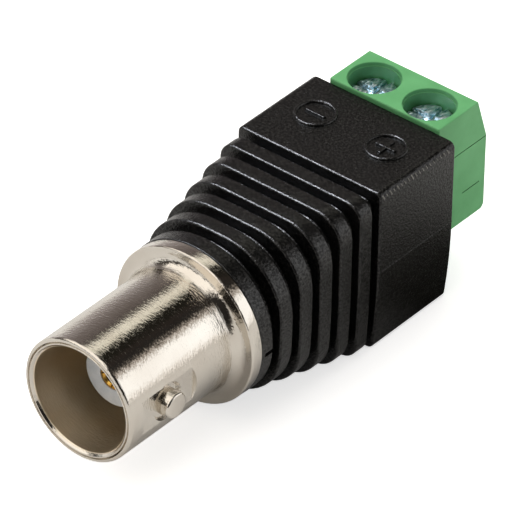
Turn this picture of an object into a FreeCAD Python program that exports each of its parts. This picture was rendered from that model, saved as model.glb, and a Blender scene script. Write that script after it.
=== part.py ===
import FreeCAD, Part
import os
import re
import Sketcher

# A video balun: a bayonet jack in the round end of a ribbed black sleeve, a two way screw
# terminal in its square end, and a small transformer on a board between them.
# Sizes are millimetres. Every piece is drawn about the axis of the jack, with X to the
# right, Y from the mouth of the jack to the wires and Z up. Its placement then moves it to
# the part's own frame, whose origin is on the floor under the middle of the part.

RIB_COUNT = 6

SIZES = [
    ("fit_gap", 0.02, "gap round a piece that is pressed or glued in place"),
    ("running_gap", 0.05, "gap round a turning screw"),
    ("sliding_gap", 0.15, "gap round a sliding clamp cage"),
    ("barrel_diameter", 9.6, "outside of the barrel that the plug turns on"),
    ("barrel_wall", 0.7, "wall of the barrel"),
    ("barrel_length", 11.2, "mouth of the jack to the flange"),
    ("rim_round", 0.22, "rounding of the mouth's outer edge"),
    ("mouth_chamfer", 0.2, "bevel inside the mouth"),
    ("socket_depth", 8.8, "mouth to the web that closes the barrel"),
    ("web_thickness", 1.4, "web that carries the insulator"),
    ("flange_overhang", 1.35, "flange beyond the barrel"),
    ("flange_thickness", 1.05, "thickness of the flange"),
    ("flange_edge", 0.08, "rounding of the flange's edges"),
    ("root_fillet", 0.9, "hollow curve from the barrel to the flange"),
    ("spigot_length", 4.2, "stub behind the flange, held in the sleeve"),
    ("spigot_wall", 1.0, "wall of that stub"),
    ("lug_diameter", 2.0, "bayonet lug"),
    ("lug_reach", 0.72, "lug beyond the barrel"),
    ("lug_distance", 3.95, "mouth to the middle of the lug"),
    ("lug_edge", 0.18, "rounding of the lug's end"),
    ("flat_length", 5.2, "flat under the lug, along the barrel"),
    ("flat_depth", 0.2, "how deep the flat is cut"),
    ("nose_diameter", 4.65, "nose of the insulator"),
    ("nose_depth", 3.5, "mouth to the front of the insulator"),
    ("insulator_diameter", 6.2, "body of the insulator"),
    ("contact_diameter", 2.0, "outside of the contact's socket"),
    ("pin_bore", 1.38, "socket for the plug's pin"),
    ("pin_depth", 5.0, "depth of that socket"),
    ("contact_slot", 0.2, "slots that make the socket springy"),
    ("slot_length", 3.6, "length of those slots"),
    ("contact_length", 9.9, "length of the contact's thick part"),
    ("tail_diameter", 1.0, "solder tail of the contact"),
    ("tail_overlap", 2.6, "length of the tail under the board"),
    ("tag_thickness", 0.4, "ground tag"),
    ("tag_margin", 0.5, "ground tag beyond the insulator"),
    ("tag_hole", 3.4, "hole in the ground tag"),
    ("tag_width", 1.2, "leg of the ground tag"),
    ("tag_offset", 2.5, "axis to the middle of that leg"),
    ("block_height", 13.6, "height of the sleeve's square end"),
    ("block_length", 8.4, "length of the square end"),
    ("block_margin", 1.5, "sleeve beyond the terminal on each side"),
    ("rib_pitch", 2.06, "from one rib to the next"),
    ("rib_land", 1.26, "length of a rib"),
    ("groove_depth", 0.8, "depth of the grooves between the ribs"),
    ("sleeve_wall", 1.0, "wall of the sleeve under the grooves"),
    ("top_corner", 0.5, "corner of the square end, upper half"),
    ("bottom_corner", 0.45, "corner of the square end, lower half"),
    ("rib_corner", 1.4, "corner of the rib beside the square end"),
    ("front_flat", 0.1, "half of the straight side left on the front rib"),
    ("front_inset", 0.1, "front rib inside the flange, on each side"),
    ("front_rise", 0.14, "front rib above the flange"),
    ("draft", 0.4, "how far the lower half of the sides leans in"),
    ("cavity_corner", 0.6, "corner of the space inside the square end"),
    ("mark_radius", 1.6, "ring round the minus and plus marks"),
    ("mark_line", 0.22, "width of the marks' lines"),
    ("mark_rise", 0.1, "height of the marks"),
    ("mark_bar", 1.7, "length of the marks' bars"),
    ("mark_offset", 3.17, "axis to the middle of each mark"),
    ("mark_inset", 3.75, "rear of the sleeve to the middle of each mark"),
    ("pole_pitch", 5.0, "from one screw to the other"),
    ("terminal_slack", 0.1, "terminal narrower than two pitches"),
    ("terminal_height", 9.75, "height of the terminal"),
    ("terminal_step", 0.35, "terminal above the sleeve"),
    ("slope_run", 1.12, "how far the rear face leans in at the top"),
    ("slope_drop", 3.4, "height of the leaning part"),
    ("terminal_edge", 0.12, "rounding of the terminal's outer edges"),
    ("foot_round", 0.5, "rounding of its lower rear edge"),
    ("tongue_depth", 3.0, "part of the terminal inside the sleeve"),
    ("tongue_step", 0.4, "tongue above the terminal's underside"),
    ("screw_inset", 3.6, "rear face to the axis of a screw"),
    ("well_gap", 0.16, "well beyond the screw's head, all round"),
    ("well_wall", 0.14, "sleeve to the edge of the well"),
    ("well_chamfer", 0.1, "bevel round the well"),
    ("seat_thickness", 0.55, "floor of the well, which carries the screw's head"),
    ("head_depth", 1.1, "top of the terminal to a screw's head"),
    ("head_diameter", 3.5, "head of a screw"),
    ("head_height", 1.0, "thickness of the head"),
    ("head_round", 0.15, "rounding of the head"),
    ("drive_width", 0.55, "width of the cross cut in the head"),
    ("drive_depth", 0.5, "depth of the cross"),
    ("shank_diameter", 2.0, "thread of a screw"),
    ("shank_gap", 0.2, "end of the screw above the contact strip"),
    ("window_gap", 0.15, "screw to the inside of the clamp cage's sides"),
    ("cage_length", 3.5, "clamp cage, along the wire"),
    ("cage_wall", 0.35, "sides and floor of the cage"),
    ("cage_top", 0.6, "threaded top of the cage"),
    ("wire_gap", 2.0, "open height for the wire"),
    ("entry_width", 2.8, "hole that the wire goes into"),
    ("entry_funnel", 0.45, "bevel round that hole"),
    ("strip_gap", 0.2, "contact strip to the inside of the cage's sides"),
    ("strip_thickness", 0.5, "contact strip"),
    ("strip_reach", 1.6, "strip beyond the screw's axis"),
    ("strip_overlap", 3.1, "strip on the board"),
    ("shoulder_grip", 0.25, "how deep the strip's shoulders go into the terminal"),
    ("shoulder_length", 1.4, "length of that part"),
    ("shoulder_inset", 0.4, "front of the tongue to that part"),
    ("board_width", 8.0, "circuit board"),
    ("board_thickness", 0.8, "circuit board"),
    ("board_gap", 0.1, "board to the terminal, and film of solder over the tail"),
    ("board_start", 1.0, "ground tag to the front of the board"),
    ("core_diameter", 5.0, "ring core of the transformer"),
    ("core_hole", 2.2, "hole of the core"),
    ("core_height", 2.0, "height of the core"),
    ("core_edge", 0.25, "rounding of the core's edges"),
    ("core_space", 2.0, "end of the tail to the middle of the core"),
    ("wire_layer", 0.3, "wire wound on the core"),
    ("winding_angle", 130.0, "part of the ring that a winding covers, in degrees"),
    ("lead_angle", 5.0, "end of a winding to its lead, in degrees"),
    ("lead_diameter", 0.3, "ends of the windings"),
    ("lead_end", 0.45, "lead below the board"),
    ("lead_hole", 0.5, "hole for a lead in the board"),
    ("solder_width", 0.4, "solder beside a strip, tail or leg"),
    ("solder_film", 0.12, "solder over a strip, tail or leg"),
    ("solder_length", 1.5, "solder along a strip, tail or leg"),
    ("cone_width", 0.2, "solder round a lead's hole"),
]
NAMES = {alias for alias, size, meaning in SIZES}

doc = FreeCAD.newDocument("video_balun")
sheet = doc.addObject("Spreadsheet::Sheet", "Sheet")
for row, (alias, size, meaning) in enumerate(SIZES, start=1):
    sheet.set(f"A{row}", meaning)
    sheet.set(f"B{row}", str(size))
    sheet.setAlias(f"B{row}", alias)
doc.recompute()


def formula(text):
    """Write a sum of size names as an expression that reads the sheet."""
    return re.sub(r"[a-z_]+", lambda word: "Sheet." + word[0] if word[0] in NAMES else word[0], text)


def number(text):
    """What a sum of size names comes to now."""
    return float(sheet.evalExpression(formula(text)))


# Stations along the jack's axis, all counted from the mouth
FLANGE_REAR = "(barrel_length + flange_thickness)"
SPIGOT_END = f"({FLANGE_REAR} + spigot_length)"
WEB_REAR = "(socket_depth + web_thickness)"
TAG_FRONT = f"({SPIGOT_END} - tag_thickness)"
BLOCK_FRONT = f"({FLANGE_REAR} + {RIB_COUNT} * rib_pitch)"
BLOCK_REAR = f"({BLOCK_FRONT} + block_length)"
TONGUE_FRONT = f"({BLOCK_REAR} - tongue_depth)"
WELL = "(head_diameter / 2 + well_gap)"
TERMINAL_REAR = f"({BLOCK_REAR} + well_wall + {WELL} + screw_inset)"
SCREW_AXIS = f"({TERMINAL_REAR} - screw_inset)"
BOARD_FRONT = f"({SPIGOT_END} + board_start)"
BOARD_REAR = f"({TONGUE_FRONT} - board_gap)"
TAIL_END = f"({BOARD_FRONT} + tail_overlap)"
STRIP_FRONT = f"({BOARD_REAR} - strip_overlap)"
CORE_MIDDLE = f"({TAIL_END} + core_space)"

# Radii and half widths from that axis
BARREL = "barrel_diameter / 2"
BORE = "(barrel_diameter / 2 - barrel_wall)"
FLANGE = "(barrel_diameter / 2 + flange_overhang)"
INSULATOR_SEAT = "(insulator_diameter / 2 + fit_gap)"
SPIGOT = f"({INSULATOR_SEAT} + spigot_wall)"
TAG = "(insulator_diameter / 2 + tag_margin)"
TERMINAL_SIDE = "(pole_pitch - terminal_slack / 2)"
BLOCK_SIDE = f"({TERMINAL_SIDE} + block_margin)"
BLOCK_TOP = "(block_height / 2)"
WALL = "(groove_depth + sleeve_wall)"
CAVITY_SIDE = f"({BLOCK_SIDE} - {WALL})"
CAVITY_TOP = f"({BLOCK_TOP} - {WALL})"
WINDOW = "(shank_diameter / 2 + window_gap)"
CAGE = f"({WINDOW} + cage_wall)"
CHAMBER = f"({CAGE} + sliding_gap)"
STRIP = f"({WINDOW} - strip_gap)"
SHOULDER = f"({CHAMBER} + shoulder_grip)"

# Heights above that axis
TERMINAL_TOP = f"({BLOCK_TOP} + terminal_step)"
TERMINAL_BOTTOM = f"({TERMINAL_TOP} - terminal_height)"
TONGUE_TOP = f"({CAVITY_TOP} - fit_gap)"
TONGUE_BOTTOM = f"({TERMINAL_BOTTOM} + tongue_step)"
BOARD_BOTTOM = "(tail_diameter / 2 + board_gap)"
BOARD_TOP = f"({BOARD_BOTTOM} + board_thickness)"
STRIP_TOP = f"({BOARD_TOP} + strip_thickness)"
HEAD_TOP = f"({TERMINAL_TOP} - head_depth)"
HEAD_BOTTOM = f"({HEAD_TOP} - head_height)"
HEAD_SEAT = f"({HEAD_BOTTOM} - running_gap)"
SEAT_BOTTOM = f"({HEAD_SEAT} - seat_thickness)"
SHANK_END = f"({STRIP_TOP} + shank_gap)"
CAGE_ROOF = f"({STRIP_TOP} + sliding_gap)"
CAGE_TOP = f"({CAGE_ROOF} + cage_top)"
CAGE_FLOOR = f"({BOARD_TOP} - wire_gap)"
CAGE_BOTTOM = f"({CAGE_FLOOR} - cage_wall)"
CORE_BOTTOM = f"({BOARD_TOP} + wire_layer + 2 * fit_gap)"
CORE_TOP = f"({CORE_BOTTOM} + core_height)"

MOUTH_PLACE = f"(-{TERMINAL_REAR} / 2)"
AXIS_HEIGHT = BLOCK_TOP
LEFT = "(-pole_pitch / 2)"
RIGHT = "(pole_pitch / 2)"


def new_body(label, across="0", along="0"):
    """Start a piece about an axis that lies across and along from the middle of the mouth."""
    body = doc.addObject("PartDesign::Body", label)
    body.Label = label
    body.setExpression("Placement.Base.x", formula(across))
    body.setExpression("Placement.Base.y", formula(f"{MOUTH_PLACE} + {along}"))
    body.setExpression("Placement.Base.z", formula(AXIS_HEIGHT))
    return body


def new_sketch(body, name, plane, level="0"):
    """Start a sketch square to X, Y or Z, at a level along that axis."""
    sketch = body.newObject("Sketcher::SketchObject", name)
    roles = {feature.Role: feature for feature in body.Origin.OriginFeatures}
    sketch.AttachmentSupport = [(roles[plane], "")]
    sketch.MapMode = "FlatFace"
    sign = "-" if plane == "XZ_Plane" else ""
    sketch.setExpression("AttachmentOffset.Base.z", formula(f"{sign}({level})"))
    return sketch


def hold_point(sketch, side, end, name, place):
    """Tie a point of a sketch to two formulas."""
    across, up = place
    for kind, text in (("DistanceX", across), ("DistanceY", up)):
        size = number(text)
        tie = sketch.addConstraint(Sketcher.Constraint(kind, -1, 1, side, end, size))
        sketch.renameConstraint(tie, f"{name}_{kind[-1].lower()}")
        sketch.setExpression(f"Constraints.{name}_{kind[-1].lower()}", formula(text))


def draw_outline(sketch, name, corners, arcs=None):
    """Draw a closed outline anticlockwise; arcs gives the radius of the sides that bulge."""
    arcs = arcs or {}
    points = [FreeCAD.Vector(number(across), number(up), 0) for across, up in corners]
    sides = []
    for side, start in enumerate(points):
        end = points[(side + 1) % len(points)]
        edge = Part.LineSegment(start, end)
        if side in arcs:
            chord = end - start
            radius = number(arcs[side])
            bulge = radius - max(radius ** 2 - chord.Length ** 2 / 4, 0) ** 0.5
            outward = FreeCAD.Vector(chord.y, -chord.x, 0) / chord.Length
            edge = Part.Arc(start, (start + end) / 2 + outward * bulge, end)
        sides.append(sketch.addGeometry(edge, False))
    for side, geometry in enumerate(sides):
        follower = sides[(side + 1) % len(sides)]
        sketch.addConstraint(Sketcher.Constraint("Coincident", geometry, 2, follower, 1))
    for side, geometry in enumerate(sides):
        hold_point(sketch, geometry, 1, f"{name}_corner_{side + 1}", corners[side])
        if side in arcs:
            radius = Sketcher.Constraint("Radius", geometry, number(arcs[side]))
            sketch.renameConstraint(sketch.addConstraint(radius), f"{name}_radius_{side + 1}")
            sketch.setExpression(f"Constraints.{name}_radius_{side + 1}", formula(arcs[side]))


def draw_box(sketch, name, low, high):
    """Draw a rectangle between two corners."""
    corners = [low, (high[0], low[1]), high, (low[0], high[1])]
    draw_outline(sketch, name, corners)


def draw_circle(sketch, name, place, radius):
    """Draw a circle."""
    centre = FreeCAD.Vector(number(place[0]), number(place[1]), 0)
    ring = sketch.addGeometry(Part.Circle(centre, FreeCAD.Vector(0, 0, 1), number(radius)), False)
    hold_point(sketch, ring, 3, f"{name}_centre", place)
    size = sketch.addConstraint(Sketcher.Constraint("Radius", ring, number(radius)))
    sketch.renameConstraint(size, f"{name}_radius")
    sketch.setExpression(f"Constraints.{name}_radius", formula(radius))


def extrude(sketch, kind, name, length, towards=1):
    """Pad or pocket a sketch, towards the plus or minus end of its axis."""
    body = sketch.getParentGeoFeatureGroup()
    normal = -1 if sketch.AttachmentSupport[0][0].Role == "XZ_Plane" else 1
    feature = body.newObject(f"PartDesign::{kind}", name)
    feature.Profile = sketch
    feature.setExpression("Length", formula(length))
    feature.Reversed = (towards != normal) if kind == "Pad" else (towards == normal)
    sketch.Visibility = False
    return feature


def turn(sketch, name, axis="H_Axis", angle="360"):
    """Revolve a sketch about one of its axes."""
    feature = sketch.getParentGeoFeatureGroup().newObject("PartDesign::Revolution", name)
    feature.Profile = sketch
    feature.ReferenceAxis = (sketch, [axis])
    feature.setExpression("Angle", formula(angle))
    sketch.Visibility = False
    return feature


def soften(base, kind, name, size, chosen):
    """Fillet or chamfer the edges of a feature that a test picks."""
    doc.recompute()
    edges = [f"Edge{place}" for place, edge in enumerate(base.Shape.Edges, start=1) if chosen(edge)]
    feature = base.getParentGeoFeatureGroup().newObject(f"PartDesign::{kind}", name)
    feature.Base = (base, edges)
    feature.setExpression("Radius" if kind == "Fillet" else "Size", formula(size))
    return feature


def mirror(body, name, features):
    """Repeat features on the other side of the YZ plane."""
    roles = {feature.Role: feature for feature in body.Origin.OriginFeatures}
    copy = body.newObject("PartDesign::Mirrored", name)
    copy.Originals = features
    copy.MirrorPlane = (roles["YZ_Plane"], [""])
    body.Tip = copy
    return copy


def near(first, second):
    """Whether two lengths are the same."""
    return abs(first - second) < 1e-4


def is_ring(edge, station, radius):
    """Whether an edge is a full circle about the jack's axis, at a station and of a radius."""
    box = edge.BoundBox
    level = near(box.YMin, number(station)) and near(box.YMax, number(station))
    round_edge = hasattr(edge.Curve, "Radius") and near(edge.Curve.Radius, number(radius))
    return level and round_edge and near(box.XMax, number(radius))


def is_level(edge, axis, level):
    """Whether an edge lies wholly at one level along an axis."""
    box = edge.BoundBox
    return near(getattr(box, axis + "Min"), level) and near(getattr(box, axis + "Max"), level)


def make_jack_shell():
    """The plated shell: barrel, bayonet lugs, flange and the stub that the sleeve holds."""
    body = new_body("jack_shell")
    profile = new_sketch(body, "shell_profile", "YZ_Plane")
    tag_seat = f"({TAG} + fit_gap)"
    nose_hole = "(nose_diameter / 2 + fit_gap)"
    draw_outline(profile, "shell", [
        ("0", BORE), ("socket_depth", BORE), ("socket_depth", nose_hole), (WEB_REAR, nose_hole),
        (WEB_REAR, INSULATOR_SEAT), (TAG_FRONT, INSULATOR_SEAT), (TAG_FRONT, tag_seat),
        (SPIGOT_END, tag_seat), (SPIGOT_END, SPIGOT), (FLANGE_REAR, SPIGOT), (FLANGE_REAR, FLANGE),
        ("barrel_length", FLANGE), ("barrel_length", BARREL), ("0", BARREL)])
    shell = turn(profile, "shell_turned")
    root = soften(shell, "Fillet", "root_curve", "root_fillet",
                  lambda edge: is_ring(edge, "barrel_length", BARREL))
    rim = soften(root, "Fillet", "rim_rounding", "rim_round", lambda edge: is_ring(edge, "0", BARREL))
    mouth = soften(rim, "Chamfer", "mouth_bevel", "mouth_chamfer", lambda edge: is_ring(edge, "0", BORE))
    soften(mouth, "Fillet", "flange_edges", "flange_edge",
           lambda edge: is_ring(edge, "barrel_length", FLANGE) or is_ring(edge, FLANGE_REAR, FLANGE))

    flat = new_sketch(body, "lug_flat_outline", "YZ_Plane", f"{BARREL} - flat_depth")
    draw_box(flat, "flat", ("lug_distance - flat_length / 2", "-barrel_diameter / 2"),
             ("lug_distance + flat_length / 2", BARREL))
    flats = extrude(flat, "Pocket", "lug_flat", "flat_depth + lug_reach", 1)
    lug = new_sketch(body, "lug_outline", "YZ_Plane", f"{BARREL} - barrel_wall / 2")
    draw_circle(lug, "lug", ("lug_distance", "0"), "lug_diameter / 2")
    lugs = extrude(lug, "Pad", "lug", "barrel_wall / 2 + lug_reach", 1)
    mirrored = mirror(body, "other_lug", [flats, lugs])
    tip = number(f"{BARREL} + lug_reach")
    soften(mirrored, "Fillet", "lug_ends", "lug_edge",
           lambda edge: is_level(edge, "X", tip) or is_level(edge, "X", -tip))


def make_jack_insulator():
    """The white plastic insulator, pushed into the shell from behind."""
    body = new_body("jack_insulator")
    profile = new_sketch(body, "insulator_profile", "YZ_Plane")
    shoulder = "(nose_depth + contact_length)"
    wide = "(contact_diameter / 2 + fit_gap)"
    narrow = "(tail_diameter / 2 + fit_gap)"
    draw_outline(profile, "insulator", [
        ("nose_depth", wide), (shoulder, wide), (shoulder, narrow), (TAG_FRONT, narrow),
        (TAG_FRONT, "insulator_diameter / 2"), (WEB_REAR, "insulator_diameter / 2"),
        (WEB_REAR, "nose_diameter / 2"), ("nose_depth", "nose_diameter / 2")])
    turned = turn(profile, "insulator_turned")
    soften(turned, "Fillet", "nose_edge", "rim_round / 2",
           lambda edge: is_ring(edge, "nose_depth", "nose_diameter / 2"))


def make_centre_contact():
    """The gilt contact: a slotted socket for the plug's pin, and a solder tail."""
    body = new_body("centre_contact")
    profile = new_sketch(body, "contact_profile", "YZ_Plane")
    shoulder = "(nose_depth + contact_length)"
    socket_end = "(nose_depth + pin_depth)"
    draw_outline(profile, "contact", [
        ("nose_depth", "pin_bore / 2"), (socket_end, "pin_bore / 2"), (socket_end, "0"), (TAIL_END, "0"),
        (TAIL_END, "tail_diameter / 2"), (shoulder, "tail_diameter / 2"),
        (shoulder, "contact_diameter / 2"), ("nose_depth", "contact_diameter / 2")])
    turn(profile, "contact_turned")
    for name, across, up in (("slot_upright", "contact_slot / 2", "contact_diameter"),
                             ("slot_level", "contact_diameter", "contact_slot / 2")):
        slot = new_sketch(body, name + "_outline", "XZ_Plane", "nose_depth")
        draw_box(slot, "slot", (f"-({across})", f"-({up})"), (across, up))
        extrude(slot, "Pocket", name, "slot_length", 1)


def make_ground_tag():
    """The tag that keeps the insulator in and takes the shell's connection to the board."""
    body = new_body("ground_tag")
    ring = new_sketch(body, "tag_ring_outline", "XZ_Plane", TAG_FRONT)
    draw_circle(ring, "rim", ("0", "0"), TAG)
    draw_circle(ring, "hole", ("0", "0"), "tag_hole / 2")
    extrude(ring, "Pad", "tag_ring", "tag_thickness", 1)
    leg = new_sketch(body, "tag_leg_outline", "XZ_Plane", TAG_FRONT)
    draw_box(leg, "leg", ("tag_offset - tag_width / 2", f"{BOARD_BOTTOM} - tag_thickness"),
             ("tag_offset + tag_width / 2", BOARD_BOTTOM))
    extrude(leg, "Pad", "tag_leg", f"{TAIL_END} - {TAG_FRONT}", 1)


def rib_side(place):
    """Half width of the sleeve, place ribs in front of its square end."""
    return f"({BLOCK_SIDE} + ({FLANGE} - front_inset - {BLOCK_SIDE}) * {place} / {RIB_COUNT})"


def rib_top(place):
    """Half height of the sleeve, place ribs in front of its square end."""
    return f"({BLOCK_TOP} + ({FLANGE} + front_rise - {BLOCK_TOP}) * {place} / {RIB_COUNT})"


def rib_radius(place):
    """Corner radius of a rib, which grows until the front rib is nearly round."""
    front = f"({FLANGE} - front_inset - front_flat)"
    return f"(rib_corner + ({front} - rib_corner) * ({place} - 1) / {RIB_COUNT - 1})"


def draw_section(sketch, side, top, upper, lower, lean="0"):
    """Draw the sleeve's section: a box with rounded corners, its lower sides leaning in."""
    foot = f"({side} - {lean})"
    draw_outline(sketch, "section", [
        (f"{foot} - {lower}", f"-{top}"), (foot, f"{lower} - {top}"), (side, "0"),
        (side, f"{top} - {upper}"), (f"{side} - {upper}", top), (f"{upper} - {side}", top),
        (f"-{side}", f"{top} - {upper}"), (f"-{side}", "0"), (f"-{foot}", f"{lower} - {top}"),
        (f"{lower} - {foot}", f"-{top}")], {0: lower, 3: upper, 5: upper, 8: lower})


def draw_cavity(sketch, side, bottom, top, corner):
    """Draw the section of the space inside the sleeve."""
    draw_outline(sketch, "cavity", [
        (f"{side} - {corner}", bottom), (side, f"{bottom} + {corner}"), (side, f"{top} - {corner}"),
        (f"{side} - {corner}", top), (f"{corner} - {side}", top), (f"-{side}", f"{top} - {corner}"),
        (f"-{side}", f"{bottom} + {corner}"), (f"{corner} - {side}", bottom)],
        {0: corner, 2: corner, 4: corner, 6: corner})


def raise_mark(body, name, sign):
    """Raise a ring with a minus or plus in it on top of the sleeve."""
    across = f"{sign} * mark_offset"
    along = f"{BLOCK_REAR} - mark_inset"
    half = "mark_bar / 2"
    line = "mark_line / 2"
    ring = new_sketch(body, f"{name}_ring_outline", "XY_Plane", BLOCK_TOP)
    draw_circle(ring, "outer", (across, along), "mark_radius")
    draw_circle(ring, "inner", (across, along), "mark_radius - mark_line")
    extrude(ring, "Pad", f"{name}_ring", "mark_rise")
    bars = [(half, line)] if name == "minus" else [(half, line), (line, half)]
    for number_of_bar, (reach, width) in enumerate(bars, start=1):
        bar = new_sketch(body, f"{name}_bar_outline_{number_of_bar}", "XY_Plane", BLOCK_TOP)
        draw_box(bar, "bar", (f"{across} - {reach}", f"{along} - {width}"),
                 (f"{across} + {reach}", f"{along} + {width}"))
        extrude(bar, "Pad", f"{name}_bar_{number_of_bar}", "mark_rise")


def make_housing():
    """The black sleeve, moulded in one: square end, ribs, cavity and the neck for the jack."""
    body = new_body("housing")
    block = new_sketch(body, "block_section", "XZ_Plane", BLOCK_FRONT)
    draw_section(block, BLOCK_SIDE, BLOCK_TOP, "top_corner", "bottom_corner", "draft")
    extrude(block, "Pad", "block", "block_length")
    for place in range(1, RIB_COUNT + 1):
        side = rib_side(place)
        top = rib_top(place)
        radius = rib_radius(place)
        station = f"({BLOCK_FRONT} - {place} * rib_pitch)"
        groove = new_sketch(body, f"groove_section_{place}", "XZ_Plane", f"{station} + rib_land")
        floor = f"({radius} - groove_depth)"
        draw_section(groove, f"({side} - groove_depth)", f"({top} - groove_depth)", floor, floor)
        extrude(groove, "Pad", f"groove_{place}", "rib_pitch - rib_land")
        rib = new_sketch(body, f"rib_section_{place}", "XZ_Plane", station)
        draw_section(rib, side, top, radius, radius, f"(draft * {RIB_COUNT - place} / {2 * RIB_COUNT})")
        extrude(rib, "Pad", f"rib_{place}", "rib_land")
    raise_mark(body, "minus", -1)
    raise_mark(body, "plus", 1)

    bottom = f"({TONGUE_BOTTOM} - fit_gap)"
    opening = new_sketch(body, "terminal_opening_outline", "XZ_Plane", BLOCK_REAR)
    draw_box(opening, "opening", (f"-{CAVITY_SIDE}", bottom), (CAVITY_SIDE, CAVITY_TOP))
    extrude(opening, "Pocket", "terminal_opening", "block_length", -1)
    start = f"(({BLOCK_FRONT} - {SPIGOT_END}) / rib_pitch)"
    side = f"({rib_side(start)} - {WALL})"
    top = f"({rib_top(start)} - {WALL})"
    narrow = new_sketch(body, "cavity_front", "XZ_Plane", SPIGOT_END)
    draw_cavity(narrow, side, f"-{top}", top, f"({rib_radius(start)} - {WALL})")
    wide = new_sketch(body, "cavity_rear", "XZ_Plane", BLOCK_FRONT)
    draw_cavity(wide, CAVITY_SIDE, bottom, CAVITY_TOP, "cavity_corner")
    cavity = body.newObject("PartDesign::SubtractiveLoft", "cavity")
    cavity.Profile = narrow
    cavity.Sections = [wide]
    cavity.Ruled = True
    neck = new_sketch(body, "neck_outline", "XZ_Plane", FLANGE_REAR)
    draw_circle(neck, "neck", ("0", "0"), f"{SPIGOT} + fit_gap")
    extrude(neck, "Pocket", "neck_bore", "spigot_length")


def make_terminal_body():
    """The green terminal moulding: wells for the screws, chambers for the cages, wire holes."""
    body = new_body("terminal_body")
    profile = new_sketch(body, "terminal_profile", "YZ_Plane", f"-{TERMINAL_SIDE}")
    draw_outline(profile, "terminal", [
        (BLOCK_REAR, TERMINAL_BOTTOM), (TERMINAL_REAR, TERMINAL_BOTTOM),
        (TERMINAL_REAR, f"{TERMINAL_TOP} - slope_drop"), (f"{TERMINAL_REAR} - slope_run", TERMINAL_TOP),
        (BLOCK_REAR, TERMINAL_TOP)])
    block = extrude(profile, "Pad", "terminal_block", f"2 * {TERMINAL_SIDE}")
    foot = soften(block, "Fillet", "foot_rounding", "foot_round",
                  lambda edge: is_level(edge, "Y", number(TERMINAL_REAR))
                  and is_level(edge, "Z", number(TERMINAL_BOTTOM)))
    soften(foot, "Fillet", "outer_edges", "terminal_edge",
           lambda edge: edge.BoundBox.YMax > number(BLOCK_REAR) + 0.01
           and not is_level(edge, "Z", number(TERMINAL_BOTTOM))
           and edge.BoundBox.ZMin > number(f"{TERMINAL_BOTTOM} + foot_round") - 0.01)
    tongue_side = f"({CAVITY_SIDE} - fit_gap)"
    tongue = new_sketch(body, "tongue_outline", "XZ_Plane", BLOCK_REAR)
    draw_box(tongue, "tongue", (f"-{tongue_side}", TONGUE_BOTTOM), (tongue_side, TONGUE_TOP))
    extrude(tongue, "Pad", "tongue", "tongue_depth", -1)

    chamber_reach = "(cage_length / 2 + sliding_gap)"
    chamber_bottom = f"({CAGE_BOTTOM} - sliding_gap)"
    near_side = f"{RIGHT} - {CHAMBER}"
    far_side = f"{RIGHT} + {CHAMBER}"
    shaft = new_sketch(body, "cage_shaft_outline", "XY_Plane", chamber_bottom)
    draw_box(shaft, "shaft", (near_side, f"{SCREW_AXIS} - {chamber_reach}"),
             (far_side, f"{SCREW_AXIS} + {chamber_reach}"))
    cage_shaft = extrude(shaft, "Pocket", "cage_shaft", f"{SEAT_BOTTOM} - {chamber_bottom}", 1)
    slot = new_sketch(body, "cage_slot_outline", "XZ_Plane", TONGUE_FRONT)
    draw_box(slot, "slot", (near_side, chamber_bottom), (far_side, f"{CAGE_TOP} + sliding_gap"))
    cage_slot = extrude(slot, "Pocket", "cage_slot", f"{SCREW_AXIS} - {TONGUE_FRONT}", 1)
    groove = new_sketch(body, "strip_groove_outline", "XZ_Plane", TONGUE_FRONT)
    grip = f"({SHOULDER} + fit_gap)"
    draw_box(groove, "groove", (f"{RIGHT} - {grip}", f"{BOARD_TOP} - fit_gap"),
             (f"{RIGHT} + {grip}", f"{STRIP_TOP} + fit_gap"))
    groove_length = "shoulder_inset + shoulder_length + fit_gap"
    strip_groove = extrude(groove, "Pocket", "strip_groove", groove_length, 1)
    entry = new_sketch(body, "wire_entry_outline", "XZ_Plane", TERMINAL_REAR)
    draw_box(entry, "entry", (f"{RIGHT} - entry_width / 2", CAGE_FLOOR),
             (f"{RIGHT} + entry_width / 2", BOARD_TOP))
    wire_entry = extrude(entry, "Pocket", "wire_entry", "screw_inset", -1)
    well = new_sketch(body, "screw_well_outline", "XY_Plane", TERMINAL_TOP)
    draw_circle(well, "well", (RIGHT, SCREW_AXIS), WELL)
    screw_well = extrude(well, "Pocket", "screw_well", f"{TERMINAL_TOP} - {HEAD_SEAT}", -1)
    hole = new_sketch(body, "shank_hole_outline", "XY_Plane", HEAD_SEAT)
    draw_circle(hole, "hole", (RIGHT, SCREW_AXIS), "shank_diameter / 2 + running_gap")
    shank_hole = extrude(hole, "Pocket", "shank_hole", "seat_thickness", -1)
    copy = mirror(body, "other_pole",
                  [cage_shaft, cage_slot, strip_groove, wire_entry, screw_well, shank_hole])
    wells = soften(copy, "Chamfer", "well_bevels", "well_chamfer",
                   lambda edge: is_level(edge, "Z", number(TERMINAL_TOP))
                   and hasattr(edge.Curve, "Radius"))
    entry_half = number("entry_width / 2")
    pole = number(RIGHT)
    soften(wells, "Chamfer", "entry_funnels", "entry_funnel",
           lambda edge: is_level(edge, "Y", number(TERMINAL_REAR))
           and abs(abs(edge.CenterOfMass.x) - pole) < entry_half + 0.01
           and edge.BoundBox.ZMin > number(CAGE_FLOOR) - 0.01
           and edge.BoundBox.ZMax < number(BOARD_TOP) + 0.01)


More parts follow.
